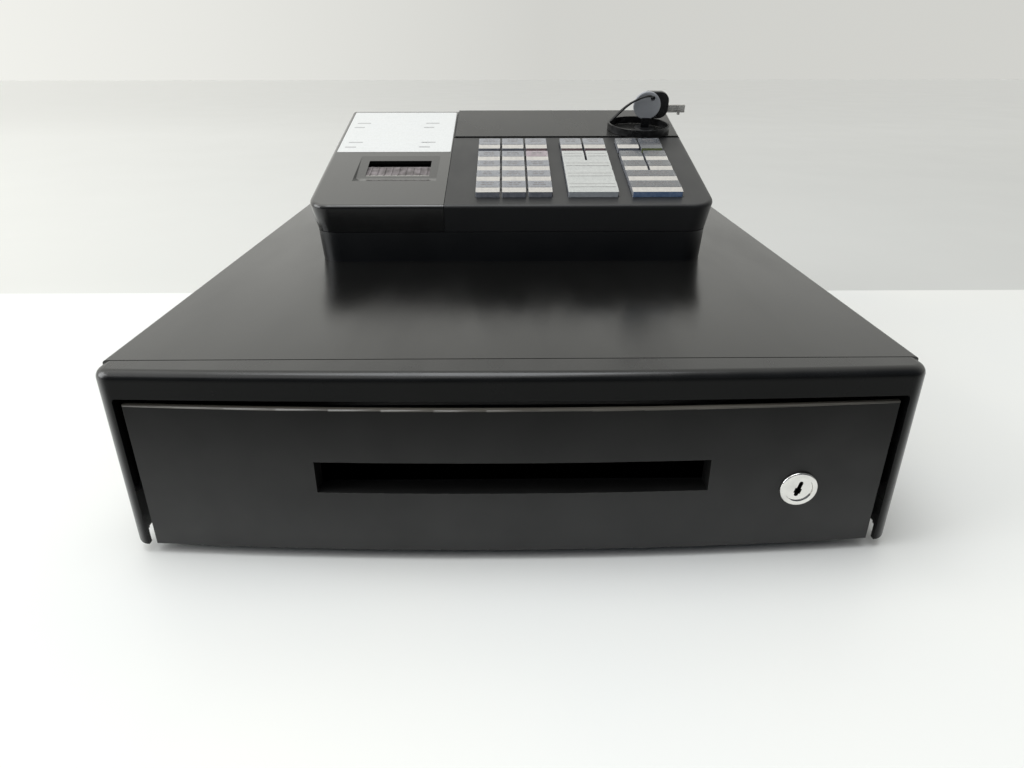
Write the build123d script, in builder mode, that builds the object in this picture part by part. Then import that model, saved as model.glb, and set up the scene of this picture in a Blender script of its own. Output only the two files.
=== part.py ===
from build123d import *
import os
from math import cos, radians, sin, tan

# A compact shop cash register: a wide steel cash-drawer cabinet with a small sloped
# keyboard-and-printer head standing at the back of its top. Millimetres. +X is the cashier's
# right, +Y is towards the back, +Z is up. The origin is on the table, under the middle.

os.makedirs("parts", exist_ok=True)

# ---- Driving dimensions ------------------------------------------------------------------

CABINET_WIDTH = 410.0
TOTAL_DEPTH = 450.0
CABINET_TOP = 107.4
CABINET_BOTTOM = 6.0
SHEET = 1.2                 # painted steel sheet of the cabinet
FIT_GAP = 0.4               # gap between neighbouring shells
CASE_CORNER = 2.0           # bend radius along the cabinet's upper edges
SEAM_GAP = 0.8              # the shadow gap between the cover and the bezel

DRAWER_BOW = 8.0            # how far the middle of the drawer front stands out
BEZEL_BOW = 5.0
BEZEL_DEPTH = 14.2
BEZEL_OPENING = 392.4
BEZEL_BAR_BOTTOM = 93.1
DRAWER_FRONT_WIDTH = 384.8
DRAWER_FRONT_TOP = 89.7
DRAWER_FRONT_THICKNESS = 3.0
SLOT_WIDTH = 200.5
SLOT_BOTTOM = 42.0
SLOT_TOP = 60.1
LOCK_X = 147.9
LOCK_Z = 41.5
LOCK_RADIUS = 9.8
PLUG_RADIUS = 7.1
RUNNING = 0.05              # radial clearance of a shaft in its hole

DRAWER_BOX_WIDTH = 372.0
DRAWER_BOX_BOTTOM = 14.0
DRAWER_BOX_TOP = 86.0
ROLLER_RADIUS = 8.0
ROLLER_Y = 180.0
TILL_WIDTH = 360.0
TILL_TOP = 84.0
TILL_FLOOR = 40.5
BILL_PLACES = 4
COIN_PLACES = 5

HEAD_X = 1.5                # the head stands this far right of the cabinet's middle
HEAD_FRONT = -17.6
HEAD_DEPTH = 203.6
HEAD_FOOT_WIDTH = 282.7
HEAD_SEAM_WIDTH = 286.1
HEAD_DECK_WIDTH = 296.0
HEAD_SEAM = 129.3           # height of the joint between the head's base and its shells
DECK_FRONT_HEIGHT = 147.9   # height of the sloped deck at the front of the head
DECK_SLOPE = 13.8           # degrees
HEAD_CORNER = 16.0
WALL = 2.5
COVER_SPLIT = -47.3         # x of the joint between the printer cover and the keyboard housing

KEY_WIDTH = 17.5
KEY_DEPTH = 19.4
BACK_KEY_DEPTH = 21.6
KEY_COLUMN_PITCH = 19.3
KEY_HEIGHT = 4.4            # how far a key stands above the deck
KEY_TRAVEL = 3.0
MODE_LOCK_X = 121.0
MODE_LOCK_S = 159.7         # distance up the deck's slope

# ---- Derived places ----------------------------------------------------------------------

HALF_WIDTH = CABINET_WIDTH / 2
REAR_Y = TOTAL_DEPTH / 2
FRONT_Y = DRAWER_BOW - REAR_Y          # front plane at the sides of the bezel and drawer
BEZEL_REAR = FRONT_Y + BEZEL_DEPTH
COVER_FRONT = BEZEL_REAR + SEAM_GAP
DRAWER_FRONT_HALF = DRAWER_FRONT_WIDTH / 2
PAN_BOTTOM = CABINET_BOTTOM + SHEET
PAN_TOP = PAN_BOTTOM + SHEET
PAN_HALF = HALF_WIDTH - SHEET - FIT_GAP
FLANGE_INNER = PAN_HALF - SHEET
BOX_FRONT = FRONT_Y + 5.0
BOX_HALF = DRAWER_BOX_WIDTH / 2
HEAD_REAR = HEAD_FRONT + HEAD_DEPTH
SLOPE = radians(DECK_SLOPE)
DECK_LENGTH = HEAD_DEPTH / cos(SLOPE)
UP_SLOPE = (0, cos(SLOPE), sin(SLOPE))
OFF_DECK = (0, -sin(SLOPE), cos(SLOPE))

# The deck plane: local x is the row's x, local y runs up the slope, local z leaves the deck.
deck = Plane(origin=(0, HEAD_FRONT, DECK_FRONT_HEIGHT), x_dir=(1, 0, 0), z_dir=OFF_DECK)


def facing_front(y):
    """An upright plane at y: local x, y are the row's x, z, and extrusions go to the front."""
    return Plane.XZ.offset(-y)


def facing_right(x):
    """An upright plane at x: local x, y are the row's y, z, and extrusions go to the right."""
    return Plane.YZ.offset(x)


def deck_side(x):
    """A plane square to the deck at x: local x runs up the slope, local y leaves the deck."""
    return Plane(origin=(x, HEAD_FRONT, DECK_FRONT_HEIGHT), x_dir=UP_SLOPE, z_dir=(1, 0, 0))


def panel(left, right, bottom, top):
    """A rectangle between these limits, for use inside a sketch."""
    with Locations(((left + right) / 2, (bottom + top) / 2)):
        Rectangle(right - left, top - bottom)


def arch(half_width, bottom, top, corner):
    """The face of an upright rectangle whose two upper corners are rounded."""
    with BuildSketch() as face:
        panel(-half_width, half_width, bottom, top)
        fillet(face.vertices().group_by(Axis.Y)[-1], corner)
    return face.sketch


def bowed_plan(half_width, back, front, bow):
    """A plan shape whose front edge is one long arc that stands out by bow in the middle."""
    with BuildSketch() as plan:
        with BuildLine():
            Polyline((-half_width, front), (-half_width, back), (half_width, back), (half_width, front))
            ThreePointArc((half_width, front), (0, front - bow), (-half_width, front))
        make_face()
    return plan.sketch


def bowed_strip(half_width, front, bow, thickness):
    """A plan shape of even thickness whose front and back are both bowed out by bow."""
    back = front + thickness
    with BuildSketch() as strip:
        with BuildLine():
            ThreePointArc((-half_width, front), (0, front - bow), (half_width, front))
            Line((half_width, front), (half_width, back))
            ThreePointArc((half_width, back), (0, back - bow), (-half_width, back))
            Line((-half_width, back), (-half_width, front))
        make_face()
    return strip.sketch


def cylinder_y(x, z, radius, back, front):
    """Adds a cylinder along Y to the part that is being built."""
    with BuildSketch(facing_front(back)) as disc:
        with Locations((x, z)):
            Circle(radius)
    extrude(disc.sketch, amount=back - front)


# ---- Cabinet: cover, base, bezel, feet ---------------------------------------------------

LIP_WIDTH = 12.0
PAN_FRONT = FRONT_Y + 60.0
NOTCH_TOP = 17.0            # the cover's sides stop this high at their front corners
CABLE_HOLE = (60.0, 120.0)  # where the drawer's cable leaves the head through the cabinet's top
CABLE_HOLE_RADIUS = 8.0
SCREW_HOLE = 2.1
CASE_SCREWS = [(side * 198.0, y) for side in (-1, 1) for y in (-150.0, 0.0, 180.0)]
HEAD_SCREWS = [(HEAD_X + side * 134.0, y) for side in (-1, 1) for y in (10.0, 168.0)]

with BuildPart() as cabinet_cover:
    with BuildSketch(facing_front(REAR_Y)):
        add(arch(HALF_WIDTH, CABINET_BOTTOM, CABINET_TOP, CASE_CORNER))
        inner = arch(HALF_WIDTH - SHEET, CABINET_BOTTOM, CABINET_TOP - SHEET, CASE_CORNER - SHEET)
        add(inner, mode=Mode.SUBTRACT)
        for side in (-1, 1):
            edge = side * (HALF_WIDTH - SHEET / 2)
            lip = side * (HALF_WIDTH - LIP_WIDTH)
            panel(min(edge, lip), max(edge, lip), CABINET_BOTTOM, PAN_BOTTOM)
    extrude(amount=REAR_Y - COVER_FRONT)
    with BuildSketch(Plane.XY.offset(CABINET_TOP)):
        with Locations(CABLE_HOLE):
            Circle(CABLE_HOLE_RADIUS)
        with Locations(*HEAD_SCREWS):
            Circle(SCREW_HOLE)
    extrude(amount=-SHEET, mode=Mode.SUBTRACT)
    with BuildSketch(Plane.XY.offset(CABINET_BOTTOM)):
        with Locations(*CASE_SCREWS):
            Circle(SCREW_HOLE)
    extrude(amount=SHEET, mode=Mode.SUBTRACT)
    with BuildSketch(Plane.XY):
        panel(-HALF_WIDTH, HALF_WIDTH, COVER_FRONT, PAN_FRONT - 3)
    extrude(amount=NOTCH_TOP, mode=Mode.SUBTRACT)
cabinet_cover.part.label = "cabinet_cover"
export_step(cabinet_cover.part, "parts/cabinet_cover.step")

FLANGE_TOP = 60.0
BASE_REAR = REAR_Y - 1.6
RAIL_INNER = 190.0
RAIL_LOW = DRAWER_BOX_BOTTOM - 0.3     # rolling surface under the drawer's rollers
RAIL_HIGH = DRAWER_BOX_BOTTOM + 2 * ROLLER_RADIUS + 0.3
RAIL_REAR = 215.0
GLIDE_HEIGHT = 0.7

with BuildPart() as cabinet_base:
    with BuildSketch(Plane.XY.offset(PAN_BOTTOM)):
        panel(-PAN_HALF, PAN_HALF, PAN_FRONT, BASE_REAR)
    extrude(amount=SHEET)
    with BuildSketch(facing_front(BASE_REAR)):
        add(arch(PAN_HALF, PAN_BOTTOM, CABINET_TOP - SHEET - FIT_GAP, CASE_CORNER - SHEET))
    extrude(amount=SHEET)
    for side in (-1, 1):
        web = side * FLANGE_INNER
        skin = side * PAN_HALF
        with BuildSketch(facing_front(BASE_REAR)):
            panel(min(web, skin), max(web, skin), PAN_BOTTOM, FLANGE_TOP)
        extrude(amount=BASE_REAR - PAN_FRONT)
        tip = side * RAIL_INNER
        with BuildSketch(facing_front(RAIL_REAR)):
            panel(min(tip, web), max(tip, web), RAIL_LOW - SHEET, RAIL_LOW)
            panel(min(tip, web), max(tip, web), RAIL_HIGH, RAIL_HIGH + SHEET)
        extrude(amount=RAIL_REAR - PAN_FRONT)
    with BuildSketch(Plane.XY.offset(RAIL_HIGH + SHEET)):
        with Locations((-RAIL_INNER - 2.2, PAN_FRONT + 20), (RAIL_INNER + 2.2, PAN_FRONT + 20)):
            Rectangle(4.4, 36)
    extrude(amount=GLIDE_HEIGHT)
    with BuildSketch(Plane.XY.offset(PAN_BOTTOM)):
        with Locations(*CASE_SCREWS):
            Circle(SCREW_HOLE)
    extrude(amount=SHEET, mode=Mode.SUBTRACT)
cabinet_base.part.label = "cabinet_base"
export_step(cabinet_base.part, "parts/cabinet_base.step")

TONGUE = 1.5
TONGUE_LENGTH = 4.0
COLUMN_ROUND = 10.0         # the bezel's upright front edges
CROWN_ROUND = 5.0           # the bezel's upper front edge
HEEL_ROUND = 5.0            # the lower outer corners of its columns
HOLLOW_HEIGHT = 9.0         # the columns' feet are hollow and open towards the drawer this far up
COLUMN_WALL = 2.5

with BuildPart() as front_bezel:
    with BuildSketch(Plane.XY.offset(CABINET_BOTTOM)):
        add(bowed_plan(HALF_WIDTH, BEZEL_REAR, FRONT_Y, BEZEL_BOW))
    extrude(amount=CABINET_TOP - CABINET_BOTTOM)
    uprights = front_bezel.edges().filter_by(Axis.Z).group_by(Axis.Y)[0]
    fillet(uprights, COLUMN_ROUND)
    top_edges = front_bezel.faces().sort_by(Axis.Z)[-1].edges()
    fillet(top_edges.filter_by(lambda edge: edge.center().Y < BEZEL_REAR - 1), CROWN_ROUND)
    with BuildSketch(facing_front(BEZEL_REAR)) as outline:
        panel(-HALF_WIDTH, HALF_WIDTH, CABINET_BOTTOM, CABINET_TOP)
        fillet(outline.vertices().group_by(Axis.Y)[0], HEEL_ROUND)
    extrude(amount=40, mode=Mode.INTERSECT)
    with BuildSketch(Plane.XY.offset(CABINET_BOTTOM)) as hollows:
        skin = HALF_WIDTH - COLUMN_WALL
        panel(-skin, skin, FRONT_Y + COLUMN_WALL, BEZEL_REAR)
        fillet(hollows.vertices().group_by(Axis.Y)[0], COLUMN_ROUND - COLUMN_WALL)
    extrude(amount=HOLLOW_HEIGHT, mode=Mode.SUBTRACT)
    with BuildSketch(facing_front(BEZEL_REAR)):
        add(arch(BEZEL_OPENING / 2, 0, BEZEL_BAR_BOTTOM, 2.0))
    extrude(amount=40, mode=Mode.SUBTRACT)
    with BuildSketch(facing_front(BEZEL_REAR + TONGUE_LENGTH)):
        reach = PAN_HALF + 0.1
        crown = CABINET_TOP - SHEET - 0.3
        add(arch(reach, 2 * PAN_TOP, crown, CASE_CORNER - SHEET - 0.3))
        add(arch(reach - TONGUE, 2 * PAN_TOP, crown - TONGUE, 2.0), mode=Mode.SUBTRACT)
    extrude(amount=TONGUE_LENGTH)
front_bezel.part.label = "front_bezel"
export_step(front_bezel.part, "parts/front_bezel.step")

FOOT_RADIUS = 9.0
FOOT_X = 172.0
FOOT_Y = 178.0

with BuildPart() as rubber_feet:
    with BuildSketch(Plane.XY):
        with GridLocations(2 * FOOT_X, 2 * FOOT_Y, 2, 2):
            Circle(FOOT_RADIUS)
    extrude(amount=PAN_BOTTOM, taper=8)
rubber_feet.part.label = "rubber_feet"
export_step(rubber_feet.part, "parts/rubber_feet.step")

# ---- Drawer: box, front, rollers, lock ---------------------------------------------------

BOX_REAR = 196.0
BOX_SHEET = 1.0
RUNNER_BOTTOM = RAIL_HIGH + SHEET + GLIDE_HEIGHT + 0.3
RUNNER_TIP = 194.4
CATCH_WIDTH = 16.0
CATCH_DEPTH = 8.0
CATCH_TOP = 70.0
ROLLER_GAP = 1.3
ROLLER_WIDTH = 8.0
PIN_RADIUS = 2.5
SLOT_MIDDLE = (SLOT_BOTTOM + SLOT_TOP) / 2
SLEEVE_WALL = 1.6
SLEEVE_DEPTH = 10.2         # the slot's sleeve, from the drawer box into the bowed front
RIB_X = 181.0
RIB_DEPTH = 3.6
LOCK_BARREL = 7.9
LOCK_SEAT = FRONT_Y - 2.4   # flat seat of the lock's flange in the bowed front

with BuildPart() as drawer_box:
    with BuildSketch(Plane.XY.offset(DRAWER_BOX_BOTTOM)):
        panel(-BOX_HALF, BOX_HALF, BOX_FRONT, BOX_REAR)
    extrude(amount=DRAWER_BOX_TOP - DRAWER_BOX_BOTTOM)
    with BuildSketch(Plane.XY.offset(DRAWER_BOX_BOTTOM + BOX_SHEET)):
        inner_half = BOX_HALF - BOX_SHEET
        panel(-inner_half, inner_half, BOX_FRONT + BOX_SHEET, BOX_REAR - BOX_SHEET)
    extrude(amount=DRAWER_BOX_TOP, mode=Mode.SUBTRACT)
    for side in (-1, 1):
        wall = side * (BOX_HALF - BOX_SHEET / 2)
        tip = side * RUNNER_TIP
        with BuildSketch(facing_front(BOX_REAR - 6)):
            panel(min(wall, tip), max(wall, tip), RUNNER_BOTTOM, RUNNER_BOTTOM + SHEET)
        extrude(amount=BOX_REAR - 6 - BOX_FRONT - 8)
        with BuildSketch(facing_right(wall)):
            with Locations((ROLLER_Y, DRAWER_BOX_BOTTOM + ROLLER_RADIUS)):
                Circle(PIN_RADIUS)
        extrude(amount=side * 11.5)
    with BuildSketch(facing_front(BOX_REAR + CATCH_DEPTH)):
        panel(-CATCH_WIDTH / 2, CATCH_WIDTH / 2, CATCH_TOP - 8, CATCH_TOP - 6)
    extrude(amount=CATCH_DEPTH)
    with BuildSketch(facing_front(BOX_REAR + CATCH_DEPTH)):
        panel(-CATCH_WIDTH / 2, CATCH_WIDTH / 2, CATCH_TOP - 6, CATCH_TOP)
    extrude(amount=BOX_SHEET)
    with BuildSketch(facing_front(BOX_FRONT + 2)):
        with Locations((0, SLOT_MIDDLE)):
            Rectangle(SLOT_WIDTH, SLOT_TOP - SLOT_BOTTOM)
        with Locations((LOCK_X, LOCK_Z)):
            Circle(LOCK_BARREL + 0.5)
    extrude(amount=4, mode=Mode.SUBTRACT)
drawer_box.part.label = "drawer_box"
export_step(drawer_box.part, "parts/drawer_box.step")

with BuildPart() as drawer_front:
    with BuildSketch(Plane.XY.offset(CABINET_BOTTOM)):
        add(bowed_strip(DRAWER_FRONT_HALF, FRONT_Y, DRAWER_BOW, DRAWER_FRONT_THICKNESS))
    extrude(amount=DRAWER_FRONT_TOP - CABINET_BOTTOM)
    rim = drawer_front.faces().sort_by(Axis.Y)[0].edges()
    fillet(rim, 0.8)
    with BuildSketch(facing_front(BOX_FRONT)):
        for side in (-1, 1):
            panel(side * RIB_X - 1, side * RIB_X + 1, DRAWER_BOX_BOTTOM + 2, DRAWER_BOX_TOP - 2)
    extrude(amount=RIB_DEPTH)
    with BuildSketch(facing_front(BOX_FRONT)):
        with Locations((0, SLOT_MIDDLE)):
            Rectangle(SLOT_WIDTH + 2 * SLEEVE_WALL, SLOT_TOP - SLOT_BOTTOM + 2 * SLEEVE_WALL)
    extrude(amount=SLEEVE_DEPTH)
    with BuildSketch(facing_front(BOX_FRONT)):
        with Locations((0, SLOT_MIDDLE)):
            Rectangle(SLOT_WIDTH, SLOT_TOP - SLOT_BOTTOM)
        with Locations((LOCK_X, LOCK_Z)):
            Circle(LOCK_BARREL + 0.1)
    extrude(amount=20, mode=Mode.SUBTRACT)
    with BuildSketch(facing_front(LOCK_SEAT)):
        with Locations((LOCK_X, LOCK_Z)):
            Circle(LOCK_RADIUS + 0.15)
    extrude(amount=6, mode=Mode.SUBTRACT)
drawer_front.part.label = "drawer_front"
export_step(drawer_front.part, "parts/drawer_front.step")

with BuildPart() as drawer_rollers:
    for side in (-1, 1):
        with BuildSketch(facing_right(side * (BOX_HALF + ROLLER_GAP))):
            with Locations((ROLLER_Y, DRAWER_BOX_BOTTOM + ROLLER_RADIUS)):
                Circle(ROLLER_RADIUS)
                Circle(PIN_RADIUS + RUNNING, mode=Mode.SUBTRACT)
        extrude(amount=side * ROLLER_WIDTH)
    outer_rims = drawer_rollers.edges().filter_by(GeomType.CIRCLE).group_by(SortBy.RADIUS)[-1]
    chamfer(outer_rims, 0.8)
drawer_rollers.part.label = "drawer_rollers"
export_step(drawer_rollers.part, "parts/drawer_rollers.step")

LOCK_FACE = LOCK_SEAT - 2.8
LOCK_REAR = FRONT_Y + 17.0
CAM_LENGTH = 22.0

with BuildPart() as drawer_lock_housing:
    cylinder_y(LOCK_X, LOCK_Z, LOCK_BARREL, LOCK_REAR, LOCK_SEAT)
    cylinder_y(LOCK_X, LOCK_Z, LOCK_RADIUS, LOCK_SEAT, LOCK_FACE)
    front_rim = drawer_lock_housing.edges().filter_by(GeomType.CIRCLE).sort_by(Axis.Y)[0]
    fillet(front_rim, 0.9)
    with BuildSketch(facing_front(LOCK_REAR)):
        with Locations((LOCK_X, LOCK_Z)):
            Circle(PLUG_RADIUS + RUNNING)
    extrude(amount=LOCK_REAR - LOCK_FACE, mode=Mode.SUBTRACT)
drawer_lock_housing.part.label = "drawer_lock_housing"
export_step(drawer_lock_housing.part, "parts/drawer_lock_housing.step")

KEYHOLE_TILT = -14.0

with BuildPart() as drawer_lock_plug:
    cylinder_y(LOCK_X, LOCK_Z, PLUG_RADIUS, LOCK_REAR + 0.4, LOCK_FACE + 0.8)
    with BuildSketch(facing_front(LOCK_FACE)):
        with Locations(Location((LOCK_X, LOCK_Z), KEYHOLE_TILT)):
            SlotOverall(9.0, 2.2, rotation=90)
            with Locations((0, -1.2)):
                Rectangle(3.6, 3.0)
    extrude(amount=-14, mode=Mode.SUBTRACT)
    with BuildSketch(facing_front(LOCK_REAR + 2.4)):
        with Locations((LOCK_X, LOCK_Z + CAM_LENGTH / 2 - 3)):
            SlotOverall(CAM_LENGTH, 10, rotation=90)
    extrude(amount=2)
    with BuildSketch(facing_front(LOCK_REAR + 4.6)):
        with Locations((LOCK_X, LOCK_Z)):
            RegularPolygon(4.2, 6)
    extrude(amount=2.2)
drawer_lock_plug.part.label = "drawer_lock_plug"
export_step(drawer_lock_plug.part, "parts/drawer_lock_plug.step")

# ---- Till: tray with bill places, coin tray, bill clips ----------------------------------

TILL_FRONT = -164.0
TILL_REAR = 186.0
TILL_WALL = 2.0
TILL_FOOT = DRAWER_BOX_BOTTOM + BOX_SHEET + 0.2
COIN_REAR = -52.0
BILL_FRONT = COIN_REAR + TILL_WALL
BILL_REAR = TILL_REAR - TILL_WALL
TILL_INNER = TILL_WIDTH - 2 * TILL_WALL
BILL_PITCH = (TILL_INNER + TILL_WALL) / BILL_PLACES
BILL_WIDTH = BILL_PITCH - TILL_WALL
CLIP_Y = 172.0
CLIP_Z = 77.0
CLIP_PIN = 1.5
CLIP_EAR = 13.5
CLIP_WIDTH = 22.0

with BuildPart() as till_tray:
    with BuildSketch(Plane.XY.offset(TILL_FOOT)) as till_plan:
        panel(-TILL_WIDTH / 2, TILL_WIDTH / 2, TILL_FRONT, TILL_REAR)
        fillet(till_plan.vertices(), 5)
    extrude(amount=TILL_TOP - TILL_FOOT)
    with BuildSketch(Plane.XY.offset(TILL_FOOT)):
        panel(-TILL_INNER / 2, TILL_INNER / 2, TILL_FRONT - 1, BILL_REAR)
    extrude(amount=TILL_FLOOR - TILL_WALL - TILL_FOOT, mode=Mode.SUBTRACT)
    with BuildSketch(Plane.XY.offset(TILL_FLOOR)):
        panel(-TILL_INNER / 2, TILL_INNER / 2, TILL_FRONT + TILL_WALL, COIN_REAR)
    extrude(amount=TILL_TOP, mode=Mode.SUBTRACT)
    with BuildSketch(Plane.XY.offset(TILL_FLOOR)) as bill_places:
        with Locations((0, (BILL_FRONT + BILL_REAR) / 2)):
            with GridLocations(BILL_PITCH, 1, BILL_PLACES, 1):
                Rectangle(BILL_WIDTH, BILL_REAR - BILL_FRONT)
        fillet(bill_places.vertices(), 3)
    extrude(amount=TILL_TOP, mode=Mode.SUBTRACT)
    for place in range(BILL_PLACES):
        middle = (place - (BILL_PLACES - 1) / 2) * BILL_PITCH
        for side in (-1, 1):
            with BuildSketch(facing_right(middle + side * CLIP_EAR - 1.5)):
                panel(CLIP_Y - 3.5, BILL_REAR + 0.5, CLIP_Z - 3.5, CLIP_Z + 3.5)
                with Locations((CLIP_Y, CLIP_Z)):
                    Circle(CLIP_PIN + RUNNING, mode=Mode.SUBTRACT)
            extrude(amount=3)
till_tray.part.label = "till_tray"
export_step(till_tray.part, "parts/till_tray.step")

COIN_HALF = TILL_INNER / 2 - 0.4
COIN_FRONT = TILL_FRONT + TILL_WALL + 0.4
COIN_BACK = COIN_REAR - 0.4
COIN_WALL = 1.8
COIN_PITCH = (2 * COIN_HALF - COIN_WALL) / COIN_PLACES
COIN_CUP_WIDTH = COIN_PITCH - COIN_WALL
SCOOP_RADIUS = 24.0

with BuildPart() as coin_tray:
    with BuildSketch(Plane.XY.offset(TILL_FLOOR)) as coin_plan:
        panel(-COIN_HALF, COIN_HALF, COIN_FRONT, COIN_BACK)
        fillet(coin_plan.vertices(), 3)
    extrude(amount=TILL_TOP - 1 - TILL_FLOOR)
    for place in range(COIN_PLACES):
        middle = (place - (COIN_PLACES - 1) / 2) * COIN_PITCH
        with BuildSketch(facing_right(middle - COIN_CUP_WIDTH / 2)) as cup:
            panel(COIN_FRONT + COIN_WALL, COIN_BACK - COIN_WALL, TILL_FLOOR + COIN_WALL, TILL_TOP + 5)
            fillet(cup.vertices().group_by(Axis.Y)[0], SCOOP_RADIUS)
        extrude(amount=COIN_CUP_WIDTH, mode=Mode.SUBTRACT)
coin_tray.part.label = "coin_tray"
export_step(coin_tray.part, "parts/coin_tray.step")

CLIP_REACH = 96.0           # from the clip's pin forward to its pad
CLIP_DROP = CLIP_Z - TILL_FLOOR - 1.8
CLIP_PAD_RADIUS = 1.4

for place in range(BILL_PLACES):
    middle = (place - (BILL_PLACES - 1) / 2) * BILL_PITCH
    with BuildPart() as bill_clip:
        with BuildSketch(facing_right(middle - CLIP_WIDTH / 2)):
            with Locations((CLIP_Y, CLIP_Z)):
                Circle(3.0)
            with Locations((CLIP_Y - CLIP_REACH, CLIP_Z - CLIP_DROP)):
                Circle(CLIP_PAD_RADIUS)
            with BuildLine():
                Polyline(
                    (CLIP_Y - 1, CLIP_Z + 1.2),
                    (CLIP_Y - CLIP_REACH + 14, CLIP_Z - CLIP_DROP + 1.0),
                    (CLIP_Y - CLIP_REACH, CLIP_Z - CLIP_DROP + CLIP_PAD_RADIUS),
                    (CLIP_Y - CLIP_REACH, CLIP_Z - CLIP_DROP),
                    (CLIP_Y - CLIP_REACH + 14, CLIP_Z - CLIP_DROP - 1.0),
                    (CLIP_Y - 1, CLIP_Z - 1.4),
                    close=True,
                )
            make_face()
        extrude(amount=CLIP_WIDTH)
        with BuildSketch(facing_right(middle - CLIP_EAR - 1.5)):
            with Locations((CLIP_Y, CLIP_Z)):
                Circle(CLIP_PIN)
        extrude(amount=2 * CLIP_EAR + 3)
    name = f"bill_clip_{place + 1}"
    bill_clip.part.label = name
    export_step(bill_clip.part, f"parts/{name}.step")

# ---- Drawer release: solenoid with its ejector springs, latch hook -----------------------

SOLENOID_TOP = 52.0
SOLENOID_REAR = BASE_REAR - SHEET - 0.4
SOLENOID_FRONT = BOX_REAR + 4.4
SOLENOID_X = 34.0
HOOK_X = 0.0
HOOK_Y = BOX_REAR + 18.0
HOOK_Z = 80.0
HOOK_WIDTH = 10.0
HOOK_PIN = 2.0
FINGER_Y = BOX_REAR + 2.2   # front face of the hook's finger
FINGER_THICKNESS = 2.2
FINGER_LIFT = 1.0           # the raised finger clears the top of the drawer's catch by this much
SPRING_X = 120.0
SPRING_WIDTH = 16.0
SPRING_HEIGHT = 38.0
SPRING_TIP = PAN_TOP + 22.6
SPRING_FOOT = 12.0
SPRING_GAP = 0.6            # the relaxed springs stop this short of the closed drawer
LEAF = 1.4

with BuildPart() as latch_solenoid:
    solenoid_mid = (SOLENOID_REAR + SOLENOID_FRONT) / 2
    with BuildSketch(facing_front(SOLENOID_REAR)):
        panel(SOLENOID_X - 20, SOLENOID_X + 20, PAN_TOP, SOLENOID_TOP)
        panel(SOLENOID_X - 14, SOLENOID_X + 14, PAN_TOP + 6, SOLENOID_TOP - 4)
    extrude(amount=SOLENOID_REAR - SOLENOID_FRONT)
    with BuildSketch(facing_front(SOLENOID_REAR)):
        panel(SOLENOID_X - 16.5, SOLENOID_X - 13, PAN_TOP + 4, SOLENOID_TOP - 4)
        panel(SOLENOID_X + 13, SOLENOID_X + 16.5, PAN_TOP + 4, SOLENOID_TOP - 4)
    extrude(amount=SOLENOID_REAR - SOLENOID_FRONT, mode=Mode.SUBTRACT)
    with BuildSketch(Plane.XY.offset(SOLENOID_TOP)):
        with Locations((SOLENOID_X, solenoid_mid)):
            Circle(4)
    extrude(amount=6)
    for x in (-SPRING_X, SPRING_X):
        with BuildSketch(facing_right(x - SPRING_WIDTH / 2)):
            with BuildLine():
                Polyline(
                    (SOLENOID_REAR, PAN_TOP),
                    (SOLENOID_REAR, PAN_TOP + SPRING_HEIGHT),
                    (BOX_REAR + SPRING_GAP, SPRING_TIP + LEAF),
                    (BOX_REAR + SPRING_GAP, SPRING_TIP),
                    (SOLENOID_REAR - LEAF, PAN_TOP + SPRING_HEIGHT - LEAF),
                    (SOLENOID_REAR - LEAF, PAN_TOP + LEAF),
                    (SOLENOID_REAR - SPRING_FOOT, PAN_TOP + LEAF),
                    (SOLENOID_REAR - SPRING_FOOT, PAN_TOP),
                    close=True,
                )
            make_face()
        extrude(amount=SPRING_WIDTH)
    for ear in (HOOK_X - HOOK_WIDTH / 2 - 2.3, HOOK_X + HOOK_WIDTH / 2 + 0.3):
        with BuildSketch(facing_right(ear)):
            panel(HOOK_Y - 4, SOLENOID_REAR + 0.4, HOOK_Z - 5, HOOK_Z + 5)
        extrude(amount=2)
    with BuildSketch(facing_right(HOOK_X - HOOK_WIDTH / 2 - 2)):
        with Locations((HOOK_Y, HOOK_Z)):
            Circle(HOOK_PIN)
    extrude(amount=HOOK_WIDTH + 4)
latch_solenoid.part.label = "latch_solenoid"
export_step(latch_solenoid.part, "parts/latch_solenoid.step")

with BuildPart() as latch_hook:
    with BuildSketch(facing_right(HOOK_X - HOOK_WIDTH / 2)):
        with Locations((HOOK_Y, HOOK_Z)):
            Circle(4)
        with BuildLine():
            Polyline(
                (HOOK_Y, HOOK_Z + 4),
                (FINGER_Y, HOOK_Z + 1),
                (FINGER_Y, CATCH_TOP + FINGER_LIFT),
                (FINGER_Y + FINGER_THICKNESS, CATCH_TOP + FINGER_LIFT),
                (FINGER_Y + FINGER_THICKNESS, HOOK_Z - 3),
                (HOOK_Y, HOOK_Z - 4),
                close=True,
            )
        make_face()
        with Locations((HOOK_Y, HOOK_Z)):
            Circle(HOOK_PIN + RUNNING, mode=Mode.SUBTRACT)
    extrude(amount=HOOK_WIDTH)
latch_hook.part.label = "latch_hook"
export_step(latch_hook.part, "parts/latch_hook.step")

# ---- Head: base --------------------------------------------------------------------------

BASE_TOP = HEAD_SEAM - FIT_GAP
LIP_RISE = 3.0
HINGE_Y = HEAD_REAR - 3.4   # the printer cover's hinge axis
HINGE_Z = HEAD_SEAM + 5.5
HINGE_KNUCKLE = 3.3
HINGE_PIN = 1.6
HINGE_POSTS = (-128.0, -62.0)
POST_WIDTH = 4.0
INLET_X = 70.0
INLET_Z = CABINET_TOP + 11.0
INLET_RADIUS = 4.5


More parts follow.
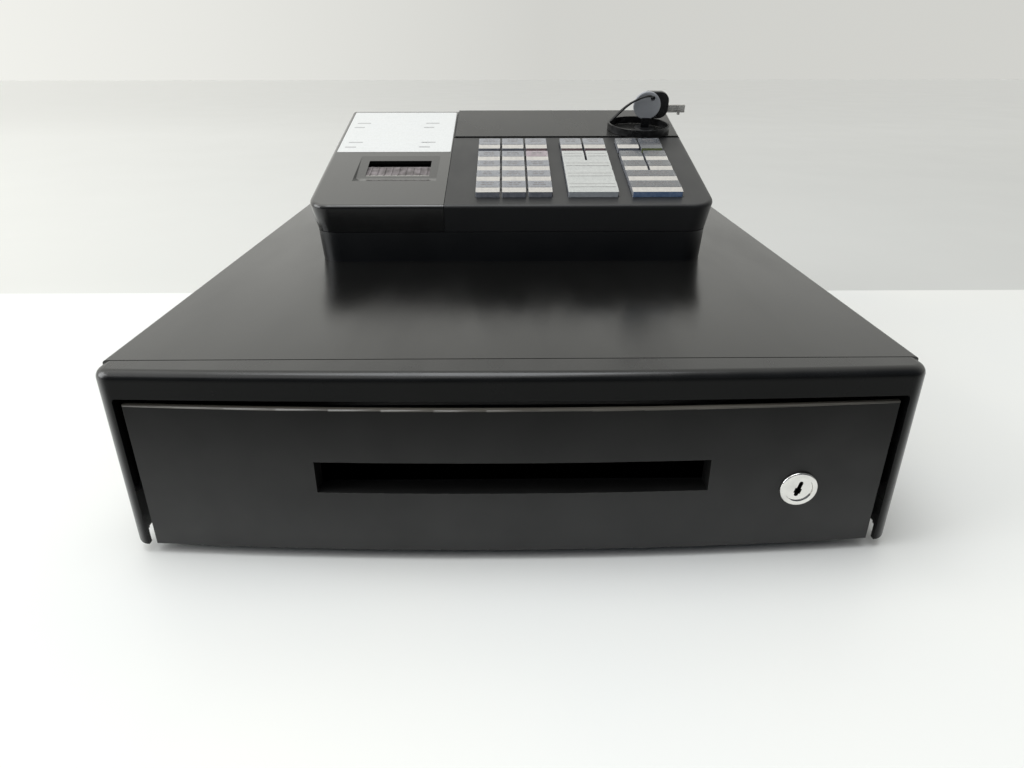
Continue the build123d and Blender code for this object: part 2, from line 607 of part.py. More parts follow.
def head_outline(width, rear_y, front_y, inset=0.0):
    """The head's plan: square at the back, with large round corners at the front."""
    with BuildSketch() as plan:
        half = width / 2 - inset
        panel(HEAD_X - half, HEAD_X + half, front_y + inset, rear_y - inset)
        fillet(plan.vertices().group_by(Axis.Y)[-1], max(3.0 - inset, 0.5))
        fillet(plan.vertices().group_by(Axis.Y)[0], HEAD_CORNER - inset)
    return plan.sketch


with BuildPart() as head_base:
    with BuildSketch(Plane.XY.offset(CABINET_TOP)):
        add(head_outline(HEAD_FOOT_WIDTH, HEAD_REAR, HEAD_FRONT))
    with BuildSketch(Plane.XY.offset(BASE_TOP)):
        add(head_outline(HEAD_SEAM_WIDTH, HEAD_REAR, HEAD_FRONT))
    loft(ruled=True)
    with BuildSketch(Plane.XY.offset(CABINET_TOP + WALL)):
        add(head_outline(HEAD_FOOT_WIDTH, HEAD_REAR, HEAD_FRONT, WALL))
    extrude(amount=HEAD_SEAM, mode=Mode.SUBTRACT)
    for low, high, gap in ((BASE_TOP - LIP_RISE, BASE_TOP, -0.01), (BASE_TOP, BASE_TOP + LIP_RISE, 0.4)):
        with BuildSketch(Plane.XY.offset(low)):
            add(head_outline(HEAD_FOOT_WIDTH, HEAD_REAR, HEAD_FRONT, WALL + gap))
            add(head_outline(HEAD_FOOT_WIDTH, HEAD_REAR, HEAD_FRONT, WALL + 1.6), mode=Mode.SUBTRACT)
        extrude(amount=high - low)
    with BuildSketch(Plane.XY.offset(BASE_TOP)):
        panel(-HALF_WIDTH, HALF_WIDTH, HEAD_REAR - 24, REAR_Y)
    extrude(amount=2 * LIP_RISE, mode=Mode.SUBTRACT)
    for x in HINGE_POSTS:
        with BuildSketch(facing_right(x - POST_WIDTH / 2)):
            panel(HINGE_Y - HINGE_KNUCKLE, HINGE_Y + 2, CABINET_TOP + 1, BASE_TOP)
            panel(HINGE_Y - HINGE_KNUCKLE, HINGE_Y, BASE_TOP, HINGE_Z)
            with Locations((HINGE_Y, HINGE_Z)):
                Circle(HINGE_KNUCKLE)
                Circle(HINGE_PIN + RUNNING, mode=Mode.SUBTRACT)
        extrude(amount=POST_WIDTH)
    with BuildSketch(facing_front(HEAD_REAR + 1)):
        with Locations((INLET_X, INLET_Z)):
            Circle(INLET_RADIUS)
    extrude(amount=WALL + 2, mode=Mode.SUBTRACT)
    with BuildSketch(Plane.XY.offset(CABINET_TOP)):
        with Locations(CABLE_HOLE):
            Circle(CABLE_HOLE_RADIUS)
        with Locations(*HEAD_SCREWS):
            Circle(SCREW_HOLE)
    extrude(amount=WALL, mode=Mode.SUBTRACT)
head_base.part.label = "head_base"
export_step(head_base.part, "parts/head_base.step")

# ---- Head: printer cover and keyboard housing --------------------------------------------

EDGE_ROUND = 3.0

with BuildPart() as head_shell:
    with BuildSketch(Plane.XY.offset(HEAD_SEAM)):
        add(head_outline(HEAD_SEAM_WIDTH, HEAD_REAR, HEAD_FRONT))
    with BuildSketch(deck):
        add(head_outline(HEAD_DECK_WIDTH, DECK_LENGTH, 0))
    loft(ruled=True)
    fillet(head_shell.faces().sort_by(Axis((0, 0, 0), OFF_DECK))[-1].edges(), EDGE_ROUND)
    with BuildSketch(Plane.XY.offset(HEAD_SEAM)):
        add(head_outline(HEAD_SEAM_WIDTH, HEAD_REAR, HEAD_FRONT, WALL))
    with BuildSketch(deck.offset(-WALL)):
        add(head_outline(HEAD_DECK_WIDTH, DECK_LENGTH, 0, WALL))
    loft(ruled=True, mode=Mode.SUBTRACT)

SCOOP_LEFT = -120.0
SCOOP_RIGHT = -56.0
SCOOP_FRONT = 44.5
SCOOP_BACK = 95.0
SCOOP_DEPTH = 2.4
SCOOP_RAMP = 9.5            # length of the gentle ramp at the front of the scoop
WINDOW_LEFT = -112.5
WINDOW_RIGHT = -62.5
WINDOW_FRONT = 59.0
WINDOW_BACK = 86.0
GUIDE_BACK = 79.0           # the receipt leaves between its guide plate and the window's back
GUIDE_DROP = 3.0
GUIDE_THICKNESS = 1.2
LUG_WIDTH = 3.0

with BuildPart() as printer_cover:
    add(head_shell.part)
    split(bisect_by=Plane.YZ.offset(COVER_SPLIT - FIT_GAP / 2), keep=Keep.BOTTOM)
    with BuildSketch(deck_side(SCOOP_LEFT - WALL)):
        with BuildLine():
            Polyline(
                (SCOOP_FRONT - 5, -1.0),
                (SCOOP_BACK + 6, -1.0),
                (SCOOP_BACK + 6, -WALL - 0.2),
                (SCOOP_FRONT + SCOOP_RAMP + 2.5, -WALL - SCOOP_DEPTH),
                (SCOOP_FRONT + SCOOP_RAMP - 1, -WALL - SCOOP_DEPTH),
                (SCOOP_FRONT - 5, -WALL - 0.2),
                close=True,
            )
        make_face()
    extrude(amount=SCOOP_RIGHT - SCOOP_LEFT + 2 * WALL)
    with BuildSketch(deck_side(SCOOP_LEFT)):
        with BuildLine():
            Polyline(
                (SCOOP_FRONT, 0),
                (SCOOP_FRONT + SCOOP_RAMP, -SCOOP_DEPTH),
                (SCOOP_FRONT + SCOOP_RAMP + 2, -SCOOP_DEPTH),
                (SCOOP_BACK, 0),
                (SCOOP_BACK, 2),
                (SCOOP_FRONT, 2),
                close=True,
            )
        make_face()
    extrude(amount=SCOOP_RIGHT - SCOOP_LEFT, mode=Mode.SUBTRACT)
    with BuildSketch(deck.offset(2)):
        panel(WINDOW_LEFT, WINDOW_RIGHT, WINDOW_FRONT, WINDOW_BACK)
    extrude(amount=-12, mode=Mode.SUBTRACT)
    with BuildSketch(deck.offset(-GUIDE_DROP)):
        panel(WINDOW_LEFT - 1, WINDOW_RIGHT + 1, WINDOW_FRONT - 1, GUIDE_BACK)
    extrude(amount=-GUIDE_THICKNESS)
    with BuildSketch(Plane.XY.offset(HEAD_SEAM)):
        panel(-HALF_WIDTH, HALF_WIDTH, HEAD_REAR - WALL - 0.5, HEAD_REAR + 1)
    extrude(amount=1.0, mode=Mode.SUBTRACT)
    for x in HINGE_POSTS:
        notch = POST_WIDTH / 2 + 0.4
        with BuildSketch(facing_right(x - notch)):
            panel(HINGE_Y - 1, HEAD_REAR + 1, HEAD_SEAM - 1, HINGE_Z + HINGE_KNUCKLE + 1)
        extrude(amount=2 * notch, mode=Mode.SUBTRACT)
        for lug in (x - notch - LUG_WIDTH, x + notch):
            with BuildSketch(facing_right(lug)):
                panel(HINGE_Y, HEAD_REAR - 1, HINGE_Z - HINGE_KNUCKLE, HINGE_Z + HINGE_KNUCKLE)
                with Locations((HINGE_Y, HINGE_Z)):
                    Circle(HINGE_KNUCKLE)
            extrude(amount=LUG_WIDTH)
        with BuildSketch(facing_right(x - notch - 1)):
            with Locations((HINGE_Y, HINGE_Z)):
                Circle(HINGE_PIN)
        extrude(amount=2 * notch + 2)
printer_cover.part.label = "printer_cover"
export_step(printer_cover.part, "parts/printer_cover.step")

# Key places: name, middle x, front edge s, width, depth.
KEY_GAP = 0.5
KEY_ROWS = (14.2, 34.4, 54.6, 74.8, 101.0)
NUMBER_X = 3.2
DEPARTMENT_X = 61.25
TENDER_X = 108.25
WIDE_KEY = KEY_WIDTH + KEY_COLUMN_PITCH

key_places = []
for row, front in enumerate(KEY_ROWS):
    depth = BACK_KEY_DEPTH if row == len(KEY_ROWS) - 1 else KEY_DEPTH
    for column in range(3):
        x = NUMBER_X + (column - 1) * KEY_COLUMN_PITCH
        key_places.append((f"number_key_{row + 1}{column + 1}", x, front, KEY_WIDTH, depth))
    for group, middle, wide_rows in (("department_key", DEPARTMENT_X, 3), ("tender_key", TENDER_X, 2)):
        if row < wide_rows:
            key_places.append((f"{group}_{row + 1}", middle, front, WIDE_KEY, depth))
        else:
            for column in range(2):
                x = middle + (column - 0.5) * KEY_COLUMN_PITCH
                key_places.append((f"{group}_{row + 1}{column + 1}", x, front, KEY_WIDTH, depth))

PANEL_FRONT = 136.6         # front edge of the display window's recess, up the slope
PANEL_LEFT = COVER_SPLIT + 0.8
PANEL_RIGHT = 147.4
PANEL_BACK = DECK_LENGTH - 1.5
PANEL_DEPTH = 2.2
PANEL_RISE = 0.8            # the display window stands above the deck by this much
PANEL_GAP = 0.3
GROOVE = 2.0
DISPLAY_LEFT = -12.0
DISPLAY_RIGHT = 87.0
DISPLAY_FRONT = 149.0
DISPLAY_BACK = 187.0
BARREL_RADIUS = 9.0
ROTOR_RADIUS = 6.0
BARREL_DEPTH = 16.0
BOARD_DROP = 9.4            # top of the key board below the deck
BOARD_BOSSES = ((37.0, 22.0), (37.0, 108.0), (84.7, 22.0), (84.7, 108.0))
BOSS_RADIUS = 2.6

with BuildPart() as keyboard_housing:
    add(head_shell.part)
    split(bisect_by=Plane.YZ.offset(COVER_SPLIT + FIT_GAP / 2), keep=Keep.TOP)
    partition_left = COVER_SPLIT + FIT_GAP / 2
    with BuildSketch(facing_right(partition_left)):
        with BuildLine():
            Polyline(
                (HEAD_FRONT + 1, HEAD_SEAM + LIP_RISE + 0.5),
                (HEAD_REAR - 1, HEAD_SEAM + LIP_RISE + 0.5),
                (HEAD_REAR - 1, DECK_FRONT_HEIGHT + (HEAD_DEPTH - 1) * tan(SLOPE) - 1.2),
                (HEAD_FRONT + 1, DECK_FRONT_HEIGHT + tan(SLOPE) - 1.2),
                close=True,
            )
        make_face()
    extrude(amount=2.0)
    with BuildSketch(deck.offset(-WALL)):
        panel(PANEL_LEFT, PANEL_RIGHT, PANEL_FRONT - WALL, PANEL_BACK - 0.5)
    extrude(amount=-PANEL_DEPTH)
    with BuildSketch(deck):
        panel(PANEL_LEFT, PANEL_RIGHT, PANEL_FRONT, PANEL_BACK)
    extrude(amount=-PANEL_DEPTH, mode=Mode.SUBTRACT)
    with BuildSketch(deck):
        panel(PANEL_LEFT - 2, PANEL_RIGHT + 5, PANEL_FRONT, PANEL_FRONT + GROOVE)
    extrude(amount=-PANEL_DEPTH, mode=Mode.SUBTRACT)
    with BuildSketch(deck):
        panel(DISPLAY_LEFT, DISPLAY_RIGHT, DISPLAY_FRONT, DISPLAY_BACK)
        for name, x, front, width, depth in key_places:
            panel(x - width / 2 - KEY_GAP, x + width / 2 + KEY_GAP, front - KEY_GAP, front + depth + KEY_GAP)
    extrude(amount=-WALL - PANEL_DEPTH - 1, mode=Mode.SUBTRACT)
    with BuildSketch(deck.offset(-BOARD_DROP)):
        with Locations(*BOARD_BOSSES):
            Circle(BOSS_RADIUS)
    extrude(amount=BOARD_DROP - WALL / 2)
    with BuildSketch(deck.offset(-BARREL_DEPTH)):
        with Locations((MODE_LOCK_X, MODE_LOCK_S)):
            Circle(BARREL_RADIUS)
    extrude(amount=BARREL_DEPTH + PANEL_RISE)
    with BuildSketch(deck.offset(-BARREL_DEPTH)):
        with Locations((MODE_LOCK_X, MODE_LOCK_S)):
            Circle(ROTOR_RADIUS + RUNNING)
    extrude(amount=BARREL_DEPTH + 1, mode=Mode.SUBTRACT)
keyboard_housing.part.label = "keyboard_housing"
export_step(keyboard_housing.part, "parts/keyboard_housing.step")

with BuildPart() as display_window:
    with BuildSketch(deck.offset(-PANEL_DEPTH)):
        left = PANEL_LEFT + PANEL_GAP
        right = PANEL_RIGHT - PANEL_GAP
        panel(left, right, PANEL_FRONT + GROOVE, PANEL_BACK - PANEL_GAP)
        with Locations((MODE_LOCK_X, MODE_LOCK_S)):
            Circle(BARREL_RADIUS + PANEL_GAP, mode=Mode.SUBTRACT)
    extrude(amount=PANEL_DEPTH + PANEL_RISE)
    top_face = display_window.faces().sort_by(Axis((0, 0, 0), OFF_DECK))[-1]
    fillet(top_face.outer_wire().edges(), 0.4)
display_window.part.label = "display_window"
export_step(display_window.part, "parts/display_window.step")

# ---- Keys --------------------------------------------------------------------------------

KEY_SKIRT = 4.0             # depth of a key's skirt below the deck
KEY_FLANGE = 0.9
KEY_NOSE = 7.0              # length of the sloped nose along a key's front
NOSE_DROP = 0.5

for name, x, front, width, depth in key_places:
    with BuildPart() as key:
        with BuildSketch(deck_side(x - width / 2)):
            with BuildLine():
                Polyline(
                    (front, -KEY_SKIRT),
                    (front + depth, -KEY_SKIRT),
                    (front + depth, KEY_HEIGHT),
                    (front + KEY_NOSE, KEY_HEIGHT),
                    (front, KEY_HEIGHT - NOSE_DROP),
                    close=True,
                )
            make_face()
        extrude(amount=width)
        corners = key.edges().filter_by(Axis((0, 0, 0), OFF_DECK))
        fillet(corners, 0.7)
        with BuildSketch(deck.offset(-KEY_SKIRT)):
            panel(x - width / 2 - KEY_FLANGE, x + width / 2 + KEY_FLANGE, front + 1, front + depth - 1)
        extrude(amount=1.0)
    key.part.label = name
    export_step(key.part, f"parts/{name}.step")

# ---- Mode lock, its key and the keys on its strap ----------------------------------------

KEY_SLOT_WIDTH = 7.0
KEY_SLOT_THICKNESS = 2.4
BOW_RADIUS = 11.8
BOW_THICKNESS = 3.0
BOW_RISE = 20.0             # height of the key bow's middle above the deck
BOW_HOLE = (4.6, 26.2)
BOW_HOLE_RADIUS = 2.0
NECK_HALF = 3.6
BLADE_HALF = 3.3
BLADE_DEPTH = 9.0

with BuildPart() as mode_rotor:
    with BuildSketch(deck.offset(1 - BARREL_DEPTH)):
        with Locations((MODE_LOCK_X, MODE_LOCK_S)):
            Circle(ROTOR_RADIUS)
    extrude(amount=BARREL_DEPTH + 0.2)
    with BuildSketch(deck.offset(1.2)):
        with Locations((MODE_LOCK_X, MODE_LOCK_S)):
            Rectangle(KEY_SLOT_WIDTH, KEY_SLOT_THICKNESS)
    extrude(amount=-13, mode=Mode.SUBTRACT)
mode_rotor.part.label = "mode_rotor"
export_step(mode_rotor.part, "parts/mode_rotor.step")

# An upright plane through the mode lock, square to the deck: local x is the row's x.
lock_face = Plane(
    origin=deck.from_local_coords((MODE_LOCK_X, MODE_LOCK_S, 0)),
    x_dir=(1, 0, 0),
    z_dir=(0, -cos(SLOPE), -sin(SLOPE)),
)

with BuildPart() as mode_key:
    with BuildSketch(lock_face):
        panel(-BLADE_HALF, BLADE_HALF, -BLADE_DEPTH, 4)
    extrude(amount=1.0, both=True)
    with BuildSketch(lock_face):
        panel(-NECK_HALF, NECK_HALF, 3, BOW_RISE - BOW_RADIUS + 3)
        with Locations((0, BOW_RISE)):
            Circle(BOW_RADIUS)
    extrude(amount=BOW_THICKNESS / 2, both=True)
    bow_rims = mode_key.edges().filter_by(GeomType.CIRCLE)
    fillet(bow_rims, 0.8)
    with BuildSketch(lock_face):
        with Locations(BOW_HOLE):
            Circle(BOW_HOLE_RADIUS)
    extrude(amount=BOW_THICKNESS, both=True, mode=Mode.SUBTRACT)
mode_key.part.label = "mode_key"
export_step(mode_key.part, "parts/mode_key.step")

STRAP_LENGTH = 27.0         # half-lengths of the strap's oval loop
STRAP_WIDTH = 19.5
STRAP_THICKNESS = 1.6
STRAP_HEIGHT = 6.0
STRAP_RISE = 1.1            # the strap's lower edge above the deck
STRAP_CENTRE = (-7.0, -7.5)
STRAP_TURN = -14.0
STRAND_RADIUS = 0.85
# Points of each strand on the lock's plane: right, up from the deck, and to the front.
STRANDS = (
    ((-33.0, 4.6, 1.6), (-23.0, 15.0, 2.4), (-9.0, 26.0, 3.4), (1.6, 28.6, 3.2), (4.6, 26.4, 0.4)),
    ((-31.6, 5.0, -2.6), (-21.0, 14.5, -4.6), (-10.0, 22.0, -5.2), (-2.6, 24.0, -4.6)),
)

with BuildPart() as key_ring:
    with BuildSketch(deck.offset(STRAP_RISE)):
        place = Location(
            (MODE_LOCK_X + STRAP_CENTRE[0], MODE_LOCK_S + STRAP_CENTRE[1]), STRAP_TURN
        )
        with Locations(place):
            Ellipse(STRAP_LENGTH, STRAP_WIDTH)
            Ellipse(STRAP_LENGTH - STRAP_THICKNESS, STRAP_WIDTH - STRAP_THICKNESS, mode=Mode.SUBTRACT)
    extrude(amount=STRAP_HEIGHT)
    # Two thin strands rise from the strap's left end, one of them into the bow's hole.
    for points in STRANDS:
        with BuildLine() as strand:
            Spline(*[lock_face.from_local_coords(point) for point in points])
        with BuildSketch(Plane(origin=strand.line @ 0, z_dir=strand.line % 0)) as section:
            Circle(STRAND_RADIUS)
        sweep(section.sketch, path=strand.line)
key_ring.part.label = "key_ring"
export_step(key_ring.part, "parts/key_ring.step")

HEAD_THICKNESS = 4.0
HEAD_PLACE = (-2.0, 19.5, 8.0, 30.5)   # left, right, bottom and top of the drawer key's head
HEAD_BEHIND = 6.5
TOOTH_WIDTH = 2.0
BLADE_THICKNESS = 2.2
BLADE_LOW = 12.8
BLADE_HIGH = 19.0
BLADE_TIP = 34.5

with BuildPart() as drawer_key:
    with BuildSketch(lock_face.offset(-HEAD_BEHIND)) as bow:
        panel(*HEAD_PLACE)
        fillet(bow.vertices().sort_by(Axis.X)[2:], 8)
        fillet(bow.vertices().sort_by(Axis.X)[:2], 3)
    extrude(amount=HEAD_THICKNESS)
    with BuildSketch(lock_face.offset((HEAD_THICKNESS - BLADE_THICKNESS) / 2 - HEAD_BEHIND)):
        panel(HEAD_PLACE[1] - 7, BLADE_TIP, BLADE_LOW, BLADE_HIGH)
        tooth = BLADE_TIP - 3 * TOOTH_WIDTH
        panel(tooth, tooth + TOOTH_WIDTH, BLADE_LOW - TOOTH_WIDTH, BLADE_LOW + 1)
    extrude(amount=BLADE_THICKNESS)
drawer_key.part.label = "drawer_key"
export_step(drawer_key.part, "parts/drawer_key.step")

# ---- Inside the head: printer, platen roller, boards, transformer ------------------------

PLATEN_S = 84.0
PLATEN_DROP = 17.0
PLATEN_RADIUS = 7.0
PLATEN_SHAFT = 2.5
FRAME_LEFT = -128.0
FRAME_RIGHT = -62.0
FRAME_FRONT = 30.0
FRAME_REAR = 166.0
FRAME_PLATE = 2.0
BAY_Y = 133.0
BAY_Z = 146.0
BAY_RADIUS = 31.0
BRIDGE = (55.0, 75.0, -22.0, -8.0)     # the print head's bridge: front, back, bottom, top on the deck
HEAD_FLOOR = CABINET_TOP + WALL
platen_axis = deck.from_local_coords((0, PLATEN_S, -PLATEN_DROP))

with BuildPart() as printer_frame:
    with BuildSketch(Plane.XY.offset(HEAD_FLOOR)):
        panel(FRAME_LEFT, FRAME_RIGHT, FRAME_FRONT, FRAME_REAR)
    extrude(amount=FRAME_PLATE)
    for x in (FRAME_LEFT, FRAME_RIGHT - FRAME_PLATE):
        with BuildSketch(facing_right(x)):
            with BuildLine():
                Polyline(
                    (FRAME_FRONT, HEAD_FLOOR),
                    (FRAME_REAR, HEAD_FLOOR),
                    (FRAME_REAR, BAY_Z + 4),
                    (BAY_Y - BAY_RADIUS - 2, BAY_Z + 4),
                    (BAY_Y - BAY_RADIUS - 8, BAY_Z + 18),
                    (FRAME_FRONT, BAY_Z + 4),
                    close=True,
                )
            make_face()
            with Locations((platen_axis.Y, platen_axis.Z)):
                Circle(PLATEN_SHAFT + RUNNING, mode=Mode.SUBTRACT)
        extrude(amount=FRAME_PLATE)
    with BuildSketch(facing_right(FRAME_LEFT + 0.5)) as trough:
        with Locations((BAY_Y, BAY_Z)):
            Circle(BAY_RADIUS + FRAME_PLATE)
            Circle(BAY_RADIUS, mode=Mode.SUBTRACT)
        with Locations((BAY_Y, BAY_Z + BAY_RADIUS)):
            Rectangle(4 * BAY_RADIUS, 2 * BAY_RADIUS, mode=Mode.SUBTRACT)
    extrude(amount=FRAME_RIGHT - FRAME_LEFT - 1)
    with BuildSketch(deck_side(FRAME_LEFT + 0.5)):
        panel(*BRIDGE)
    extrude(amount=FRAME_RIGHT - FRAME_LEFT - 1)
printer_frame.part.label = "printer_frame"
export_step(printer_frame.part, "parts/printer_frame.step")

ROLLER_LEFT = FRAME_LEFT + FRAME_PLATE + 1
ROLLER_RIGHT = FRAME_RIGHT - FRAME_PLATE - 1

with BuildPart() as platen_roller:
    for left, right, radius in (
        (ROLLER_LEFT, ROLLER_RIGHT, PLATEN_RADIUS),
        (FRAME_LEFT - 1, FRAME_RIGHT + 3.4, PLATEN_SHAFT),
        (FRAME_RIGHT + 0.6, FRAME_RIGHT + 3.4, PLATEN_RADIUS + 1),
    ):
        with BuildSketch(facing_right(left)):
            with Locations((platen_axis.Y, platen_axis.Z)):
                Circle(radius)
        extrude(amount=right - left)
platen_roller.part.label = "platen_roller"
export_step(platen_roller.part, "parts/platen_roller.step")

BOARD = 1.6
DOME_RADIUS = 3.5
DISPLAY_BOARD_DROP = 10.4
KEY_BOARD = (-42.0, 138.0, 8.0, 126.0)        # left, right, front and back of each board
DISPLAY_BOARD = (-20.0, 95.0, 141.0, 196.0)
LOGIC_BOARD = (-35.0, 55.0, 15.0, 105.0)
LOGIC_CHIPS = ((-10.0, 14.0, 40.0, 64.0), (-30.0, -22.0, 20.0, 60.0), (30.0, 50.0, 85.0, 93.0))
CAPACITORS = ((40.0, 35.0), (40.0, 52.0))
POST_HEIGHT = 6.0

with BuildPart() as main_board:
    with BuildSketch(deck.offset(-BOARD_DROP - BOARD)):
        panel(*KEY_BOARD)
    extrude(amount=BOARD)
    with BuildSketch(deck.offset(-BOARD_DROP)):
        for name, x, front, width, depth in key_places:
            with Locations((x, front + depth / 2)):
                Circle(DOME_RADIUS)
    extrude(amount=2.0)
    with BuildSketch(deck.offset(-DISPLAY_BOARD_DROP - BOARD)):
        panel(*DISPLAY_BOARD)
    extrude(amount=BOARD)
    with BuildSketch(deck.offset(-DISPLAY_BOARD_DROP)):
        panel(DISPLAY_LEFT + 4, DISPLAY_RIGHT - 4, DISPLAY_FRONT + 3, DISPLAY_BACK - 3)
    extrude(amount=5.2)
    with BuildSketch(Plane.XY.offset(HEAD_FLOOR + POST_HEIGHT)):
        panel(*LOGIC_BOARD)
    extrude(amount=BOARD)
    with BuildSketch(Plane.XY.offset(HEAD_FLOOR)):
        with Locations((10, 60)):
            with GridLocations(80, 80, 2, 2):
                Circle(3)
    extrude(amount=POST_HEIGHT)
    with BuildSketch(Plane.XY.offset(HEAD_FLOOR + POST_HEIGHT + BOARD)):
        for chip in LOGIC_CHIPS:
            panel(*chip)
        with Locations(*CAPACITORS):
            Circle(6)
    extrude(amount=7)
main_board.part.label = "main_board"
export_step(main_board.part, "parts/main_board.step")

TRANSFORMER_X = 105.0
TRANSFORMER_Y = 137.0

with BuildPart() as transformer:
    with BuildSketch(Plane.XY.offset(HEAD_FLOOR)):
        with Locations((TRANSFORMER_X, TRANSFORMER_Y)):
            Rectangle(58, 12)
            with GridLocations(50, 1, 2, 1):
                Circle(2.1, mode=Mode.SUBTRACT)
    extrude(amount=1.5)
    with BuildSketch(Plane.XY.offset(HEAD_FLOOR)):
        with Locations((TRANSFORMER_X, TRANSFORMER_Y)):
            Rectangle(42, 18)
    extrude(amount=36)
    with BuildSketch(Plane.XY.offset(HEAD_FLOOR + 8)):
        with Locations((TRANSFORMER_X, TRANSFORMER_Y)):
            Rectangle(27, 34)
    extrude(amount=20)
transformer.part.label = "transformer"
export_step(transformer.part, "parts/transformer.step")

SCREW_SHANK = 1.9
SCREW_HEAD = 3.6
SCREW_HEAD_HEIGHT = 2.0

with BuildPart() as case_screws:
    with BuildSketch(Plane.XY.offset(CABINET_BOTTOM - SCREW_HEAD_HEIGHT)):
        with Locations(*CASE_SCREWS):
            Circle(SCREW_HEAD)
    extrude(amount=SCREW_HEAD_HEIGHT)
    with BuildSketch(Plane.XY.offset(CABINET_BOTTOM)):
        with Locations(*CASE_SCREWS):
            Circle(SCREW_SHANK)
    extrude(amount=2 * SHEET + 1.8)
    with BuildSketch(Plane.XY.offset(CABINET_TOP - SHEET - SCREW_HEAD_HEIGHT)):
        with Locations(*HEAD_SCREWS):
            Circle(SCREW_HEAD)
    extrude(amount=SCREW_HEAD_HEIGHT)
    with BuildSketch(Plane.XY.offset(CABINET_TOP - SHEET)):
        with Locations(*HEAD_SCREWS):
            Circle(SCREW_SHANK)
    extrude(amount=SHEET + WALL + 5)
    with BuildSketch(Plane.XY.offset(HEAD_FLOOR)):
        with Locations(*HEAD_SCREWS):
            RegularPolygon(4, 6)
    extrude(amount=3.2)
case_screws.part.label = "case_screws"
export_step(case_screws.part, "parts/case_screws.step")
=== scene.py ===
import math
import random

import bmesh
import bpy
from mathutils import Matrix, Vector


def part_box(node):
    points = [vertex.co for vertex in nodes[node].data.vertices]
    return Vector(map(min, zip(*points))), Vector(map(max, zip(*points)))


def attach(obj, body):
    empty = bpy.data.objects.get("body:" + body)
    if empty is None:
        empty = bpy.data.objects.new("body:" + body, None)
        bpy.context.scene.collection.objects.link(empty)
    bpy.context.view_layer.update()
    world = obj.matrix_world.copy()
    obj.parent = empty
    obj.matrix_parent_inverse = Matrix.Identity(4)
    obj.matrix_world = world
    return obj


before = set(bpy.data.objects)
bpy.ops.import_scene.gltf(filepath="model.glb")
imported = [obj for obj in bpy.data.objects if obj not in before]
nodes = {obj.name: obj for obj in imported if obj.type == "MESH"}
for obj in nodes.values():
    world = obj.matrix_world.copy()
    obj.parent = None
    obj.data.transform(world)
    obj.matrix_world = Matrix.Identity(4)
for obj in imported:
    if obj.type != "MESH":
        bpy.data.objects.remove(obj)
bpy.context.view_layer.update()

MM = 0.001
SLOPE = math.radians(13.8)          # slope of the head's deck
UP_SLOPE = Vector((0, math.cos(SLOPE), math.sin(SLOPE)))
OFF_DECK = Vector((0, -math.sin(SLOPE), math.cos(SLOPE)))

# ---- Places on the deck ------------------------------------------------------------------
# s runs up the slope from the head's front edge, n leaves the deck, x runs along a row of keys.

deck_level = max(vertex.co.dot(OFF_DECK) for vertex in nodes["printer_cover"].data.vertices)
front_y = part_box("printer_cover")[0].y
deck_front_z = (deck_level - front_y * OFF_DECK.y) / OFF_DECK.z
deck_origin = Vector((0, front_y, deck_front_z))


def on_deck(x, s, n=0.0):
    """The point at x, s metres up the slope and n above the deck."""
    return Vector((x, 0, 0)) + deck_origin + UP_SLOPE * s + OFF_DECK * n


def deck_extent(node):
    """Lowest and highest x, s and n of a CAD node, in metres."""
    points = [vertex.co - deck_origin for vertex in nodes[node].data.vertices]
    rows = [[p.x for p in points], [p.dot(UP_SLOPE) for p in points], [p.dot(OFF_DECK) for p in points]]
    return [(min(row), max(row)) for row in rows]


# ---- Meshes ------------------------------------------------------------------------------


def mesh_piece(name, mesh_tool, materials, body):
    """Makes a named piece from a bmesh, with its materials, riding on a body."""
    bmesh.ops.recalc_face_normals(mesh_tool, faces=mesh_tool.faces)
    mesh = bpy.data.meshes.new(name)
    mesh_tool.to_mesh(mesh)
    mesh_tool.free()
    piece = bpy.data.objects.new(name, mesh)
    bpy.context.scene.collection.objects.link(piece)
    for material in materials:
        mesh.materials.append(material)
    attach(piece, body)
    return piece


def rounded_outline(left, right, low, high, corner, steps=5):
    """Points round a rectangle with round corners."""
    points = []
    corners = ((right, high, 0), (left, high, 90), (left, low, 180), (right, low, 270))
    for x, y, start in corners:
        middle_x = x - math.copysign(corner, x - (left + right) / 2)
        middle_y = y - math.copysign(corner, y - (low + high) / 2)
        for step in range(steps + 1):
            angle = math.radians(start + 90 * step / steps)
            points.append((middle_x + corner * math.cos(angle), middle_y + corner * math.sin(angle)))
    return points


def add_plate(mesh_tool, outline, place, low, high, material_index=0):
    """Adds a closed plate: outline is its plan, place turns (a, b, height) into a point."""
    bottom = [mesh_tool.verts.new(place(a, b, low)) for a, b in outline]
    top = [mesh_tool.verts.new(place(a, b, high)) for a, b in outline]
    faces = [mesh_tool.faces.new(top), mesh_tool.faces.new(bottom[::-1])]
    count = len(outline)
    for here in range(count):
        after = (here + 1) % count
        faces.append(mesh_tool.faces.new((bottom[here], bottom[after], top[after], top[here])))
    for face in faces:
        face.material_index = material_index


def add_ring(mesh_tool, centre, axis, profile, steps=48):
    """Adds a closed ring: profile is (radius, height) points, turned round the axis at centre."""
    turn = Vector((0, 0, 1)).rotation_difference(axis).to_matrix()
    rings = []
    for step in range(steps):
        angle = 2 * math.pi * step / steps
        ring = []
        for radius, height in profile:
            local = Vector((radius * math.cos(angle), radius * math.sin(angle), height))
            ring.append(mesh_tool.verts.new(centre + turn @ local))
        rings.append(ring)
    count = len(profile)
    for step in range(steps):
        after = rings[(step + 1) % steps]
        for here in range(count):
            nearby = (here + 1) % count
            mesh_tool.faces.new((rings[step][here], after[here], after[nearby], rings[step][nearby]))


